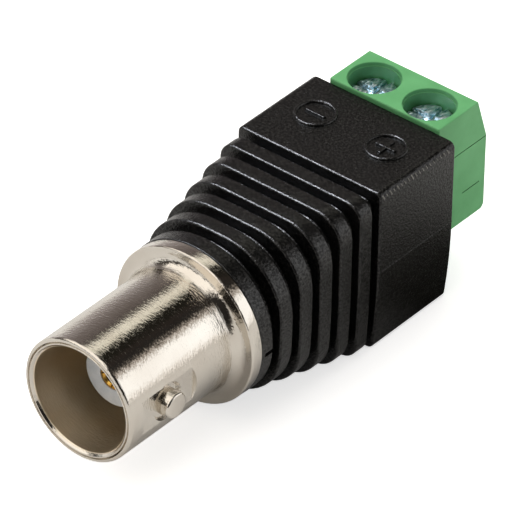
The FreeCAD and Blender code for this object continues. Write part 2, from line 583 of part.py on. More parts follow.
def make_screw(label, across):
    """A clamp screw: a flat head with a cross cut in it, and a threaded shank."""
    body = new_body(label, across)
    head = new_sketch(body, "head_outline", "XY_Plane", HEAD_BOTTOM)
    draw_circle(head, "head", ("0", SCREW_AXIS), "head_diameter / 2")
    top = extrude(head, "Pad", "head", "head_height")
    soften(top, "Fillet", "head_rounding", "head_round",
           lambda edge: is_level(edge, "Z", number(HEAD_TOP)) and hasattr(edge.Curve, "Radius"))
    shank = new_sketch(body, "shank_outline", "XY_Plane", HEAD_BOTTOM)
    draw_circle(shank, "shank", ("0", SCREW_AXIS), "shank_diameter / 2")
    extrude(shank, "Pad", "shank", f"{HEAD_BOTTOM} - {SHANK_END}", -1)
    for name, across_half, along_half in (("cross_bar", "head_diameter", "drive_width / 2"),
                                          ("cross_upright", "drive_width / 2", "head_diameter")):
        cut = new_sketch(body, f"{name}_outline", "XY_Plane", HEAD_TOP)
        draw_box(cut, "cut", (f"-{across_half}", f"{SCREW_AXIS} - {along_half}"),
                 (across_half, f"{SCREW_AXIS} + {along_half}"))
        extrude(cut, "Pocket", name, "drive_depth", -1)


def make_cage(label, across):
    """A clamp cage: a steel frame that the screw lifts, pressing the wire on the strip."""
    body = new_body(label, across)
    start = f"({SCREW_AXIS} - cage_length / 2)"
    frame = new_sketch(body, "frame_outline", "XZ_Plane", start)
    draw_box(frame, "frame", (f"-{CAGE}", CAGE_BOTTOM), (CAGE, CAGE_TOP))
    extrude(frame, "Pad", "frame", "cage_length")
    window = new_sketch(body, "window_outline", "XZ_Plane", start)
    draw_box(window, "window", (f"-{WINDOW}", CAGE_FLOOR), (WINDOW, CAGE_ROOF))
    extrude(window, "Pocket", "window", "cage_length", 1)
    thread = new_sketch(body, "thread_outline", "XY_Plane", CAGE_TOP)
    draw_circle(thread, "thread", ("0", SCREW_AXIS), "shank_diameter / 2 + running_gap")
    extrude(thread, "Pocket", "thread", "cage_top", -1)


def make_strip(label, across):
    """A contact strip: pressed into the terminal, through the cage and soldered to the board."""
    body = new_body(label, across)
    strip = new_sketch(body, "strip_outline", "XY_Plane", BOARD_TOP)
    draw_box(strip, "strip", (f"-{STRIP}", STRIP_FRONT), (STRIP, f"{SCREW_AXIS} + strip_reach"))
    extrude(strip, "Pad", "strip", "strip_thickness")
    step = f"({TONGUE_FRONT} + shoulder_inset)"
    shoulder = new_sketch(body, "shoulder_outline", "XY_Plane", BOARD_TOP)
    draw_box(shoulder, "shoulder", (f"-{SHOULDER}", step), (SHOULDER, f"{step} + shoulder_length"))
    extrude(shoulder, "Pad", "shoulder", "strip_thickness")


def lead_places(sign, middle="0"):
    """Where the two ends of a winding go down, beside the core."""
    angle = "(winding_angle / 2 - lead_angle)"
    radius = "(core_diameter / 2 + fit_gap + wire_layer)"
    along = f"{middle} + {sign} * {radius} * cos({angle})"
    return [(f"{side} * {radius} * sin({angle})", along) for side in (-1, 1)]


def all_lead_places(middle="0"):
    """Where the four leads of both windings go down."""
    return lead_places(-1, middle) + lead_places(1, middle)


def make_circuit_board():
    """The circuit board, with holes for the ends of both windings."""
    body = new_body("circuit_board")
    board = new_sketch(body, "board_outline", "XY_Plane", BOARD_BOTTOM)
    draw_box(board, "board", ("-board_width / 2", BOARD_FRONT), ("board_width / 2", BOARD_REAR))
    for place, centre in enumerate(all_lead_places(CORE_MIDDLE), start=1):
        draw_circle(board, f"lead_hole_{place}", centre, "lead_hole / 2")
    extrude(board, "Pad", "board", "board_thickness")


def make_core():
    """The ferrite ring of the transformer."""
    body = new_body("transformer_core", along=CORE_MIDDLE)
    ring = new_sketch(body, "core_outline", "XY_Plane", CORE_BOTTOM)
    draw_circle(ring, "rim", ("0", "0"), "core_diameter / 2")
    draw_circle(ring, "hole", ("0", "0"), "core_hole / 2")
    core = extrude(ring, "Pad", "core", "core_height")
    soften(core, "Fillet", "core_rounding", "core_edge", lambda edge: near(edge.BoundBox.ZLength, 0))


def make_winding(label, sign):
    """A winding of enamelled wire on one half of the ring, with its two ends as leads."""
    body = new_body(label, along=CORE_MIDDLE)
    inner = "(core_hole / 2 - fit_gap)"
    outer = "(core_diameter / 2 + fit_gap)"
    low = f"({CORE_BOTTOM} - fit_gap)"
    high = f"({CORE_TOP} + fit_gap)"
    section = new_sketch(body, "layer_section", "YZ_Plane")
    draw_box(section, "outside", (f"{sign} * ({inner} - wire_layer)", f"{low} - wire_layer"),
             (f"{sign} * ({outer} + wire_layer)", f"{high} + wire_layer"))
    draw_box(section, "inside", (f"{sign} * {inner}", low), (f"{sign} * {outer}", high))
    layer = turn(section, "layer", "V_Axis", "winding_angle")
    layer.Midplane = True
    leads = new_sketch(body, "leads_outline", "XY_Plane", f"{BOARD_BOTTOM} - lead_end")
    for place, centre in enumerate(lead_places(sign), start=1):
        draw_circle(leads, f"lead_{place}", centre, "lead_diameter / 2")
    extrude(leads, "Pad", "leads", f"{CORE_BOTTOM} + core_height / 2 - {BOARD_BOTTOM} + lead_end")


def make_flat_solder(label, across, start, height, half_width, level, side):
    """Solder over a flat piece that lies on the board, or under it where side is minus one."""
    body = new_body(label, across)
    held = f"({half_width} + fit_gap)"
    top = f"{level} + {side} * ({height} + fit_gap + solder_film)"
    roof = f"{level} + {side} * ({height} + fit_gap)"
    foot = f"({held} + solder_width)"
    slope = f"({held} + solder_width / 2)"
    section = new_sketch(body, f"{label}_section", "XZ_Plane", start)
    draw_outline(section, "solder", [
        (held, level), (foot, level), (slope, top), (f"-{slope}", top), (f"-{foot}", level),
        (f"-{held}", level), (f"-{held}", roof), (held, roof)])
    extrude(section, "Pad", label, "solder_length")


def make_contact_solder():
    """Solder all round the contact's tail, up to the underside of the board."""
    body = new_body("contact_solder")
    section = new_sketch(body, "contact_solder_section", "XZ_Plane", f"{TAIL_END} - solder_length")
    held = "(tail_diameter / 2 + fit_gap)"
    foot = f"({held} + solder_width)"
    low = f"({held} + solder_film)"
    draw_outline(section, "solder", [
        (f"-{foot}", BOARD_BOTTOM), (f"-{low}", f"-{low}"), (low, f"-{low}"), (foot, BOARD_BOTTOM)])
    draw_circle(section, "tail", ("0", "0"), held)
    extrude(section, "Pad", "contact_solder", "solder_length")


def make_lead_solder():
    """The cones of solder round the four leads, under the board."""
    foot = "lead_hole / 2 + cone_width"
    bore = "lead_diameter / 2 + fit_gap"
    cones = []
    for place, (across, along) in enumerate(all_lead_places(CORE_MIDDLE), start=1):
        cone = doc.addObject("Part::Cone", f"cone_{place}")
        cone.setExpression("Radius1", formula(f"{bore} + cone_width / 4"))
        cone.setExpression("Radius2", formula(foot))
        hole = doc.addObject("Part::Cylinder", f"cone_bore_{place}")
        hole.setExpression("Radius", formula(bore))
        for thing in (cone, hole):
            thing.setExpression("Height", formula("lead_end"))
            thing.setExpression("Placement.Base.x", formula(across))
            thing.setExpression("Placement.Base.y", formula(along))
            thing.setExpression("Placement.Base.z", formula(f"{BOARD_BOTTOM} - lead_end"))
        cut = doc.addObject("Part::Cut", f"drilled_cone_{place}")
        cut.Base = cone
        cut.Tool = hole
        cones.append(cut)
    solder = doc.addObject("Part::Compound", "lead_solder")
    solder.Label = "lead_solder"
    solder.Links = cones
    solder.setExpression("Placement.Base.y", formula(MOUTH_PLACE))
    solder.setExpression("Placement.Base.z", formula(AXIS_HEIGHT))
    return solder


def finish_document(pieces):
    """Check every object, then write each piece's shape."""
    doc.recompute()
    for thing in doc.Objects:
        faults = {"Invalid", "Error"} & set(thing.State)
        if faults:
            raise RuntimeError(f"{thing.Name} is {faults}")
    os.makedirs("parts", exist_ok=True)
    for piece in pieces:
        if piece.Shape.isNull() or not piece.Shape.isValid():
            raise RuntimeError(f"{piece.Label} has no valid shape")
        piece.Shape.exportStep(f"parts/{piece.Label}.step")
        print(piece.Label, len(piece.Shape.Solids), round(piece.Shape.Volume, 3))


make_jack_shell()
make_jack_insulator()
make_centre_contact()
make_ground_tag()
make_housing()
make_terminal_body()
for pole, across in (("minus", LEFT), ("plus", RIGHT)):
    make_screw(f"{pole}_screw", across)
    make_cage(f"{pole}_cage", across)
    make_strip(f"{pole}_strip", across)
    make_flat_solder(f"{pole}_solder", across, STRIP_FRONT, "strip_thickness", STRIP, BOARD_TOP, 1)
make_circuit_board()
make_core()
make_winding("primary_winding", -1)
make_winding("secondary_winding", 1)
make_contact_solder()
make_flat_solder("ground_solder", "tag_offset", f"({TAIL_END} - solder_length)", "tag_thickness",
                 "tag_width / 2", BOARD_BOTTOM, -1)
lead_solder = make_lead_solder()
finish_document([thing for thing in doc.Objects if thing.TypeId == "PartDesign::Body"] + [lead_solder])
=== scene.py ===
from math import atan2, cos, hypot, pi, radians, sin, tau

import bmesh
import bpy
from mathutils import Matrix, Vector


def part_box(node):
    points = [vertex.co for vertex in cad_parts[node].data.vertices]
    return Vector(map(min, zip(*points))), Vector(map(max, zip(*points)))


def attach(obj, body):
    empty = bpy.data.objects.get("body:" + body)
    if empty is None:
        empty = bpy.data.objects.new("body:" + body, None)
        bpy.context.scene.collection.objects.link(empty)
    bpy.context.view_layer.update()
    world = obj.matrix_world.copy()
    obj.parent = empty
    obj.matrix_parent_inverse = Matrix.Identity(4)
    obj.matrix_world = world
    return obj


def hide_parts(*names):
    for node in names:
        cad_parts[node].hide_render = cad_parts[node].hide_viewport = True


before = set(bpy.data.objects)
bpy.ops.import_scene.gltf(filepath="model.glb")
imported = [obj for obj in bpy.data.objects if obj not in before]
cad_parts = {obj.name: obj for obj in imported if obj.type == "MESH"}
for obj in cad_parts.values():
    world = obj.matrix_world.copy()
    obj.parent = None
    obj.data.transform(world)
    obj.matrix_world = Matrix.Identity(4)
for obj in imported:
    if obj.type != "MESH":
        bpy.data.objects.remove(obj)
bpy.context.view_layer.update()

# A video balun: a nickel plated bayonet jack in a ribbed black sleeve, and a green screw
# terminal in the sleeve's square end. Lengths are millimetres, measured like the part's own:
# X to the right, Y from the mouth of the jack to the wires, Z up from the jack's axis.

MM = 0.001


def span(node, axis):
    """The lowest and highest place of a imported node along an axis, in millimetres."""
    return [corner[axis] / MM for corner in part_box(node)]


MOUTH, SPIGOT_END = span("jack_shell", 1)
AXIS = sum(span("jack_shell", 2)) / 2
SPIGOT_END -= MOUTH
FLANGE = span("jack_shell", 0)[1]
FLANGE_REAR, BLOCK_REAR = [place - MOUTH for place in span("housing", 1)]
BLOCK_SIDE = span("housing", 0)[1]
BLOCK_TOP = AXIS - span("housing", 2)[0]
TERMINAL_SIDE = span("terminal_body", 0)[1]
TONGUE_FRONT, TERMINAL_REAR = [place - MOUTH for place in span("terminal_body", 1)]
TERMINAL_BOTTOM, TERMINAL_TOP = [place - AXIS for place in span("terminal_body", 2)]
SCREW_AXIS = sum(span("plus_screw", 1)) / 2 - MOUTH
POLE = sum(span("plus_screw", 0)) / 2
HEAD_RADIUS = span("plus_screw", 0)[1] - POLE
SHANK_END, HEAD_TOP = [place - AXIS for place in span("plus_screw", 2)]
TAIL_END = span("centre_contact", 1)[1] - MOUTH
NOSE_FACE, INSULATOR_END = [place - MOUTH for place in span("jack_insulator", 1)]
IN_FRAME = Matrix.Translation((0, MOUTH * MM, AXIS * MM)) @ Matrix.Scale(MM, 4)

# How far pushed and slid fits stand apart, and the looser fit of the screws
PLAY = 0.02
SCREW_PLAY = 0.05

# The sleeve: ribs that grow from the round end to the square one, and the cavity
RIBS = 6
PITCH = 2.06
LAND = 1.26
GROOVE = 0.8
WALL = 1.8
EDGE = 0.17
THIN_EDGE = 0.06
ROOT = 0.16
DRAFT = 0.4
SEAM = 0.06
RIDGE = 0.03
BLOCK_FRONT = FLANGE_REAR + RIBS * PITCH
FRONT_SIDE = FLANGE - 0.1
FRONT_TOP = FLANGE + 0.04
FRONT_CORNER = FRONT_SIDE - 0.1
REAR_CORNER = 1.4
BLOCK_CORNERS = (0.5, 0.45)
CAVITY_CORNER = 0.6
CAVITY_EDGE = 0.05
CAVITY_MIDDLE = 1.0
TOP_STEPS = 10
SIDE_STEPS = 5
CORNER_STEPS = 12

# The notch in the front rib, the raised marks and the short strokes along the upper right edge
NOTCH_DEPTH = 0.4
NOTCH_LENGTH = 0.8
NOTCH_HEIGHTS = (-0.64, -0.3)
MARK_PLACE = (3.17, BLOCK_REAR - 3.75)
MARK_RADIUS = 1.6
MARK_LINE = 0.29
MARK_RISE = 0.19
MARK_SINK = 0.05
MARK_BAR = 1.7
STROKE_PITCH = 0.4
STROKE_ANGLE = 12
STROKE_LEAN = 25
STROKE_SIZE = (0.07, 0.07, 0.22)
STROKE_SINK = 0.04
STROKE_START = 0.35
STROKE_MARGIN = 0.4

# The jack's shell
BARREL = 4.8
BARREL_END = 11.2
ROOT_CURVE = 0.9
BORE = 4.1
BORE_END = 8.8
NECK = 2.345
POCKET = 3.12
POCKET_START = 10.2
TAG_SEAT = 3.62
TAG_DEPTH = 0.4
SPIGOT = 4.12
FLANGE_EDGES = (0.13, 0.08)
RIM = 0.22
RIM_LINE = 4.47
RIM_LINE_SIDES = (0.06, 0.08)
RIM_LINE_DEPTH = 0.2
CHAMFER = 0.2
FLAT = 4.6
FLAT_ENDS = (1.35, 6.55)
FLAT_BOW = 0.3
FLAT_FADE = 1.2
LUG_PLACE = 3.95
LUG_RADIUS = 1.0
LUG_TIP = 5.52
LUG_EDGE = 0.22
LUG_SINK = 0.4
RECESS_DEPTH = 0.28
RECESS_RADII = (0.9, 1.3, 1.5)

# The jack's insulator and contact
SHOULDER = 13.4
SOCKET = 1.0
TAIL = 0.5
PIN_BORE = 0.69
PIN_DEPTH = 5.0
DRILL_POINT = 0.4
NOSE_EDGE = 0.12
SOCKET_EDGE = 0.1
SLOT_HALF = 0.06
SLOT_LENGTH = 3.6

# The terminal: wells, cage chambers, wire entries and seams
FOOT_CURVE = 0.5
SLOPE_RUN = 1.12
SLOPE_DROP = 3.4
TONGUE_STEP = 0.4
FRONT_GAP = 0.05
FRONT_STEP = 0.14
WELL = 1.91
WELL_LEDGE = TERMINAL_TOP - 0.32
WELL_LIP = 0.1
SEAT_THICKNESS = 0.55
CHAMBER = 1.65
CHAMBER_REACH = 1.9
CHAMBER_BOTTOM = -1.1
PASSAGE_TOP = 2.8
ENTRY = 1.4
ENTRY_HEIGHTS = (-0.6, 1.4)
FUNNEL = 0.45
SEAMS = ((3.72, BLOCK_REAR + 1.9, TERMINAL_REAR + 0.1),
         (0.05, BLOCK_REAR + 3.0, TERMINAL_REAR - 0.7))
SEAM_HALF = 0.04
SEAM_DEPTH = 0.05

# The clamp screws, with each point of a head's curve as its drop and its distance from the edge
HEAD_HEIGHT = 1.0
HEAD_CURVE = ((0.22, 0.0), (0.12, 0.06), (0.05, 0.18), (0.015, 0.4))
CROSS_HALF = 0.275
CROSS_DEPTH = 0.5
SHANK = 1.0
THREAD_PITCH = 0.4
THREAD_DEPTH = 0.16
THREAD_POINTS = 32
THREAD_ROWS = 12

# The coils on the ring core
CORE_HOLE = 1.1
LAYER = 0.3
COIL_TURNS = 20
COIL_STEP = 6.5
COIL_CORNER = 0.3


def mesh_of(points, faces):
    """A closed mesh, its doubles merged and its faces outwards."""
    mesh = bpy.data.meshes.new("piece")
    mesh.from_pydata(points, [], faces)
    form = bmesh.new()
    form.from_mesh(mesh)
    bmesh.ops.remove_doubles(form, verts=form.verts, dist=0.0005)
    bmesh.ops.recalc_face_normals(form, faces=form.faces)
    form.to_mesh(mesh)
    form.free()
    return mesh


def joined(*meshes):
    """Several meshes as one."""
    form = bmesh.new()
    for mesh in meshes:
        form.from_mesh(mesh)
    whole = bpy.data.meshes.new("piece")
    form.to_mesh(whole)
    form.free()
    return whole


def moved(mesh, matrix):
    """The mesh, moved by a matrix."""
    mesh.transform(matrix)
    return mesh


def applied(mesh, *modifiers):
    """The mesh after some modifiers, each given as its kind and its settings."""
    work = bpy.data.objects.new("work", mesh)
    bpy.context.collection.objects.link(work)
    for kind, settings in modifiers:
        modifier = work.modifiers.new(kind.lower(), kind)
        for name, value in settings.items():
            setattr(modifier, name, value)
    bpy.context.view_layer.update()
    result = bpy.data.meshes.new_from_object(work.evaluated_get(bpy.context.evaluated_depsgraph_get()))
    bpy.data.objects.remove(work)
    return result


def carved(base, *cutters):
    """A mesh with others cut out of it."""
    for cutter in cutters:
        tool = bpy.data.objects.new("tool", cutter)
        bpy.context.collection.objects.link(tool)
        base = applied(base, ("BOOLEAN", {"object": tool, "solver": "EXACT", "operation": "DIFFERENCE"}))
        bpy.data.objects.remove(tool)
    return base


def bevelled(mesh, width, segments=3):
    """The mesh with its sharp edges rounded."""
    settings = {"width": width, "segments": segments, "limit_method": "ANGLE",
                "angle_limit": radians(32), "profile": 0.6, "miter_outer": "MITER_ARC"}
    return applied(mesh, ("BEVEL", settings))


def lofted(rings, closed=False):
    """A skin over rings of equally many points; a loft that isn't closed gets flat ends."""
    count = len(rings[0])
    points = [point for ring in rings for point in ring]
    faces = []
    for ring in range(len(rings) if closed else len(rings) - 1):
        near = ring * count
        far = (ring + 1) % len(rings) * count
        for place in range(count):
            follower = (place + 1) % count
            faces.append((near + place, near + follower, far + follower, far + place))
    if not closed:
        faces.append(tuple(range(count)))
        faces.append(tuple(range(len(points) - count, len(points))))
    return mesh_of(points, faces)


def turned(profile, closed=True, segments=128, angles=None, shape=None):
    """A profile of (place, radius) turned about the Y axis; shape may move each point."""
    angles = angles or [tau * step / segments for step in range(segments)]
    rings = []
    for place, radius in profile:
        ring = [Vector((radius * cos(angle), place, radius * sin(angle))) for angle in angles]
        rings.append([shape(point) if shape else point for point in ring])
    return lofted(rings, closed)


def bow(centre, radius, start, end, steps=6):
    """Points along an arc, with its angles in degrees."""
    turns = [radians(start + (end - start) * step / steps) for step in range(steps + 1)]
    return [(centre[0] + radius * cos(turn), centre[1] + radius * sin(turn)) for turn in turns]


def box_mesh(low, high):
    """A plain box between two corners, used as a cutter."""
    corners = ((low[0], low[1]), (high[0], low[1]), (high[0], high[1]), (low[0], high[1]))
    return lofted([[(x, y, z) for x, y in corners] for z in (low[2], high[2])])


def upright(profile, across, segments=96):
    """A profile of (height, radius) turned about the vertical axis of a screw."""
    stand = Matrix.Translation((across, SCREW_AXIS, 0)) @ Matrix.Rotation(pi / 2, 4, "X")
    return moved(turned(profile, closed=False, segments=segments), stand)


def finish_piece(name, mesh, material, nodes, body="body", sharp=28):
    """Bring a mesh into the frame as a piece that stands for CAD nodes and rides on their body."""
    mesh.transform(IN_FRAME)
    mesh.materials.clear()
    mesh.materials.append(material)
    mesh.shade_smooth()
    mesh.set_sharp_from_angle(angle=radians(sharp))
    mesh = applied(mesh, ("WEIGHTED_NORMAL", {"keep_sharp": True}))
    mesh.name = name
    piece = bpy.data.objects.new(name, mesh)
    bpy.context.collection.objects.link(piece)
    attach(piece, body)
    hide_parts(*nodes)
    return piece


def repeated(base, material, **values):
    """Slightly uneven copies of a mesh in a row or about an upright axis, by Geometry Nodes."""
    group = bpy.data.node_groups.new("repeated", "GeometryNodeTree")
    group.interface.new_socket("Geometry", in_out="OUTPUT", socket_type="NodeSocketGeometry")
    kinds = {"Geometry": "Geometry", "Count": "Int", "Start": "Vector", "Step": "Vector", "First": "Vector",
             "Turn": "Vector", "Smallest": "Float", "Seed": "Int", "Material": "Material"}
    values["Material"] = material
    for name, kind in kinds.items():
        socket = group.interface.new_socket(name, in_out="INPUT", socket_type="NodeSocket" + kind)
        if name in values:
            socket.default_value = values[name]
    given = add_node(group, "NodeGroupInput").outputs
    line = add_node(group, "GeometryNodeMeshLine", inputs={
        "Count": given["Count"], "Start Location": given["Start"], "Offset": given["Step"]})
    index = add_node(group, "GeometryNodeInputIndex").outputs["Index"]
    turn = add_node(group, "ShaderNodeVectorMath", {"operation": "MULTIPLY_ADD"},
                    {0: given["Turn"], 1: index, 2: given["First"]})
    size = add_node(group, "FunctionNodeRandomValue", {"data_type": "FLOAT"},
                    {2: given["Smallest"], 3: 1.0, "Seed": given["Seed"]})
    copies = add_node(group, "GeometryNodeInstanceOnPoints", inputs={
        "Points": line.outputs["Mesh"], "Instance": given["Geometry"], "Rotation": turn.outputs["Vector"],
        "Scale": size.outputs[1]})
    real = add_node(group, "GeometryNodeRealizeInstances", inputs={"Geometry": copies.outputs["Instances"]})
    done = add_node(group, "GeometryNodeSetMaterial", inputs={
        "Geometry": real.outputs["Geometry"], "Material": given["Material"]})
    add_node(group, "NodeGroupOutput", inputs={"Geometry": done.outputs["Geometry"]})
    return applied(base, ("NODES", {"node_group": group}))


def linear(text):
    """An sRGB hex colour as the linear colour, with its alpha, that shaders take."""
    parts = [int(text[place:place + 2], 16) / 255 for place in (1, 3, 5)]
    parts = [part / 12.92 if part <= 0.04045 else ((part + 0.055) / 1.055) ** 2.4 for part in parts]
    return parts + [1.0]


def add_node(tree, kind, settings=None, inputs=None, stops=()):
    """Add a node: an input is a plain value or the socket that feeds it, a stop is (place, colour)."""
    node = tree.nodes.new(kind)
    for name, value in (settings or {}).items():
        setattr(node, name, value)
    for name, value in (inputs or {}).items():
        if isinstance(value, bpy.types.NodeSocket):
            tree.links.new(value, node.inputs[name])
        else:
            node.inputs[name].default_value = value
    if stops:
        ramp = node.color_ramp
        for spare in range(len(stops) - 2):
            ramp.elements.new(0.5)
        for element, (place, text) in zip(ramp.elements, stops):
            element.position = place
            element.color = linear(text)
    return node


def new_material(name, **values):
    """A material with a Principled shader; values are plain numbers or colours for its sockets."""
    material = bpy.data.materials.new(name)
    material.use_nodes = True
    tree = material.node_tree
    shader = tree.nodes["Principled BSDF"]
    for socket, value in values.items():
        shader.inputs[socket.replace("_", " ")].default_value = value
    place = add_node(tree, "ShaderNodeTexCoord").outputs["Object"]
    return material, tree, shader, place


def nickel():
    """Bright nickel plate on turned brass: a warm mirror with fine turning lines, duller in the bore.

    The turning lines stand 0.13 mm apart, about twice the real tool's feed, so that they show.
    """
    material, tree, shader, place = new_material("bright_nickel_plate_on_turned_brass", Metallic=1.0)
    from_axis = add_node(tree, "ShaderNodeMapping", {"vector_type": "TEXTURE"},
                         {"Vector": place, "Location": (0, 0, AXIS * MM)}).outputs["Vector"]
    across = add_node(tree, "ShaderNodeVectorMath", {"operation": "MULTIPLY"},
                      {0: from_axis, 1: (1.0, 0.0, 1.0)}).outputs["Vector"]
    radius = add_node(tree, "ShaderNodeVectorMath", {"operation": "LENGTH"}, {0: across}).outputs["Value"]
    outside = add_node(tree, "ShaderNodeMapRange", inputs={
        "Value": radius, "From Min": (BORE + 0.02) * MM, "From Max": (BORE + 0.1) * MM}).outputs["Result"]
    patches = add_node(tree, "ShaderNodeTexNoise", inputs={
        "Vector": place, "Scale": 1 / (3 * MM), "Detail": 3.0}).outputs["Fac"]
    plated = add_node(tree, "ShaderNodeValToRGB", inputs={"Fac": patches},
                      stops=[(0.3, "#D3CCC2"), (0.7, "#DED9D0")]).outputs["Color"]
    thin = add_node(tree, "ShaderNodeValToRGB", inputs={"Fac": patches},
                    stops=[(0.3, "#DDCDB2"), (0.7, "#E9DCC6")]).outputs["Color"]
    tone = add_node(tree, "ShaderNodeMix", {"data_type": "RGBA"}, {0: outside, 6: thin, 7: plated})
    tree.links.new(tone.outputs[2], shader.inputs["Base Color"])
    gloss = add_node(tree, "ShaderNodeMapRange", inputs={
        "Value": patches, "To Min": 0.05, "To Max": 0.1}).outputs["Result"]
    rough = add_node(tree, "ShaderNodeMix", inputs={0: outside, 2: 0.42, 3: gloss})
    tree.links.new(rough.outputs[0], shader.inputs["Roughness"])
    closer = add_node(tree, "ShaderNodeMapping", inputs={"Vector": place, "Scale": (1.0, 3.5, 1.0)})
    lines = add_node(tree, "ShaderNodeTexNoise", inputs={
        "Vector": closer.outputs["Vector"], "Scale": 1 / (0.45 * MM), "Detail": 3.0})
    turning = add_node(tree, "ShaderNodeBump", inputs={
        "Height": lines.outputs["Fac"], "Strength": 1.0, "Distance": 0.03 * MM})
    tree.links.new(turning.outputs["Normal"], shader.inputs["Normal"])
    return material


def black_plastic():
    """Black ABS, moulded in a spark eroded mould: a crackled grain that breaks the sheen into specks, with
    pale specks painted on its peaks as glints.

    The grain is 0.17 mm wide, two or three times the real one, so that it shows.
    """
    material, tree, shader, place = new_material("spark_grained_black_abs")
    grain = add_node(tree, "ShaderNodeTexNoise", inputs={
        "Vector": place, "Scale": 1 / (0.17 * MM), "Detail": 3.0, "Roughness": 0.6}).outputs["Fac"]
    patches = add_node(tree, "ShaderNodeTexNoise", inputs={
        "Vector": place, "Scale": 1 / (2.5 * MM), "Detail": 3.0}).outputs["Fac"]
    # Painted highlights: the grain's peaks get a paler colour, standing in for glints
    painted_glint_specks = add_node(tree, "ShaderNodeValToRGB", inputs={"Fac": grain},
                      stops=[(0.52, "#020202"), (0.68, "#1D1C1A")])
    tree.links.new(painted_glint_specks.outputs["Color"], shader.inputs["Base Color"])
    rough = add_node(tree, "ShaderNodeMapRange", inputs={"Value": patches, "To Min": 0.2, "To Max": 0.3})
    tree.links.new(rough.outputs["Result"], shader.inputs["Roughness"])
    shine = add_node(tree, "ShaderNodeMapRange", inputs={
        "Value": grain, "From Min": 0.38, "From Max": 0.62, "To Min": 0.2, "To Max": 0.6})
    tree.links.new(shine.outputs["Result"], shader.inputs["Specular IOR Level"])
    bump = add_node(tree, "ShaderNodeBump", inputs={
        "Height": grain, "Strength": 1.0, "Distance": 0.045 * MM})
    tree.links.new(bump.outputs["Normal"], shader.inputs["Normal"])
    return material


def green_plastic():
    """Green polyamide, moulded: satin, a little uneven, and with painted shade, a deeper green, where its
    walls face each other.
    """
    material, tree, shader, place = new_material(
        "moulded_green_polyamide", Roughness=0.42, Specular_IOR_Level=0.3)
    cloud = add_node(tree, "ShaderNodeTexNoise", inputs={
        "Vector": place, "Scale": 1 / (2 * MM), "Detail": 4.0}).outputs["Fac"]
    tone = add_node(tree, "ShaderNodeValToRGB", inputs={"Fac": cloud},
                    stops=[(0.3, "#68B476"), (0.7, "#73C081")]).outputs["Color"]
    # Painted shade: a deeper green mixed into the colour where the walls face each other
    painted_shade_openness = add_node(tree, "ShaderNodeAmbientOcclusion", {"only_local": True, "samples": 8},
                        {"Distance": 4 * MM}).outputs["AO"]
    painted_shade_green = add_node(tree, "ShaderNodeMix", {"data_type": "RGBA"},
                        {0: painted_shade_openness, 6: linear("#1E4D2B"), 7: tone})
    tree.links.new(painted_shade_green.outputs[2], shader.inputs["Base Color"])
    grain = add_node(tree, "ShaderNodeTexNoise", inputs={
        "Vector": place, "Scale": 1 / (0.2 * MM), "Detail": 3.0}).outputs["Fac"]
    bump = add_node(tree, "ShaderNodeBump", inputs={
        "Height": grain, "Strength": 0.3, "Distance": 0.012 * MM})
    tree.links.new(bump.outputs["Normal"], shader.inputs["Normal"])
    return material


def metal(name, dark, light, roughness, mark_size, depth, stretch=(1.0, 1.0, 1.0)):
    """A plain metal whose marks have a size and a depth in millimetres."""
    material, tree, shader, place = new_material(name, Metallic=1.0)
    drawn = add_node(tree, "ShaderNodeMapping", inputs={"Vector": place, "Scale": stretch})
    marks = add_node(tree, "ShaderNodeTexNoise", inputs={
        "Vector": drawn.outputs["Vector"], "Scale": 1 / (mark_size * MM), "Detail": 4.0}).outputs["Fac"]
    tone = add_node(tree, "ShaderNodeValToRGB", inputs={"Fac": marks}, stops=[(0.35, dark), (0.65, light)])
    tree.links.new(tone.outputs["Color"], shader.inputs["Base Color"])
    rough = add_node(tree, "ShaderNodeMapRange", inputs={
        "Value": marks, "To Min": roughness * 0.7, "To Max": roughness * 1.3})
    tree.links.new(rough.outputs["Result"], shader.inputs["Roughness"])
    bump = add_node(tree, "ShaderNodeBump", inputs={
        "Height": marks, "Strength": 0.7, "Distance": depth * MM})
    tree.links.new(bump.outputs["Normal"], shader.inputs["Normal"])
    return material


def dull(name, dark, light, roughness, mark_size, depth):
    """A plain plastic, ceramic or lacquer whose marks have a size and a depth in millimetres."""
    material = metal(name, dark, light, roughness, mark_size, depth)
    material.node_tree.nodes["Principled BSDF"].inputs["Metallic"].default_value = 0.0
    return material


NICKEL = nickel()
BLACK = black_plastic()
GREEN = green_plastic()
# Black ABS strokes along the sleeve's upper right edge: dull grey, a painted highlight of the edge
EDGE_HIGHLIGHT_PAINT = dull("black_abs_painted_edge_highlight", "#55544F", "#7C7B76", 0.5, 0.3, 0.01)
# Zinc plate on a cold headed screw: blue white, with scratches that catch the light, drawn
# about five times as coarse as real ones so that they show
ZINC = metal("blue_zinc_plate_on_headed_steel", "#6C9DA8", "#F4F9FF", 0.3, 0.2, 0.2, (1.0, 0.4, 1.0))
# Zinc plate on folded steel strip: greyer and more even than on the screws
CAGE = metal("zinc_plate_on_folded_steel", "#AEB6B8", "#C8CFD0", 0.32, 0.5, 0.006)
# Gold flash on turned brass: a deep yellow that turns orange where it reflects itself
GILT = metal("gold_flash_on_turned_brass", "#D9A441", "#EBC36A", 0.2, 0.4, 0.004)
# Tin plate on stamped brass: a soft grey mirror
TIN = metal("tin_plate_on_stamped_brass", "#BDBCB6", "#D2D1CB", 0.3, 0.6, 0.005)
# Solder that has flowed: brighter and smoother than the plate beside it
SOLDER = metal("flowed_tin_solder", "#C4C5C6", "#DCDDDE", 0.2, 0.8, 0.02)
# Moulded polypropylene: pale blue grey and waxy
WHITE = dull("moulded_pale_polypropylene", "#C3CAD2", "#D3D8DE", 0.4, 0.8, 0.004)
# Glass fibre board under solder mask: the weave shows faintly through the lacquer
BOARD = dull("solder_masked_glass_fibre_board", "#1F5B37", "#2B6E45", 0.3, 0.3, 0.01)
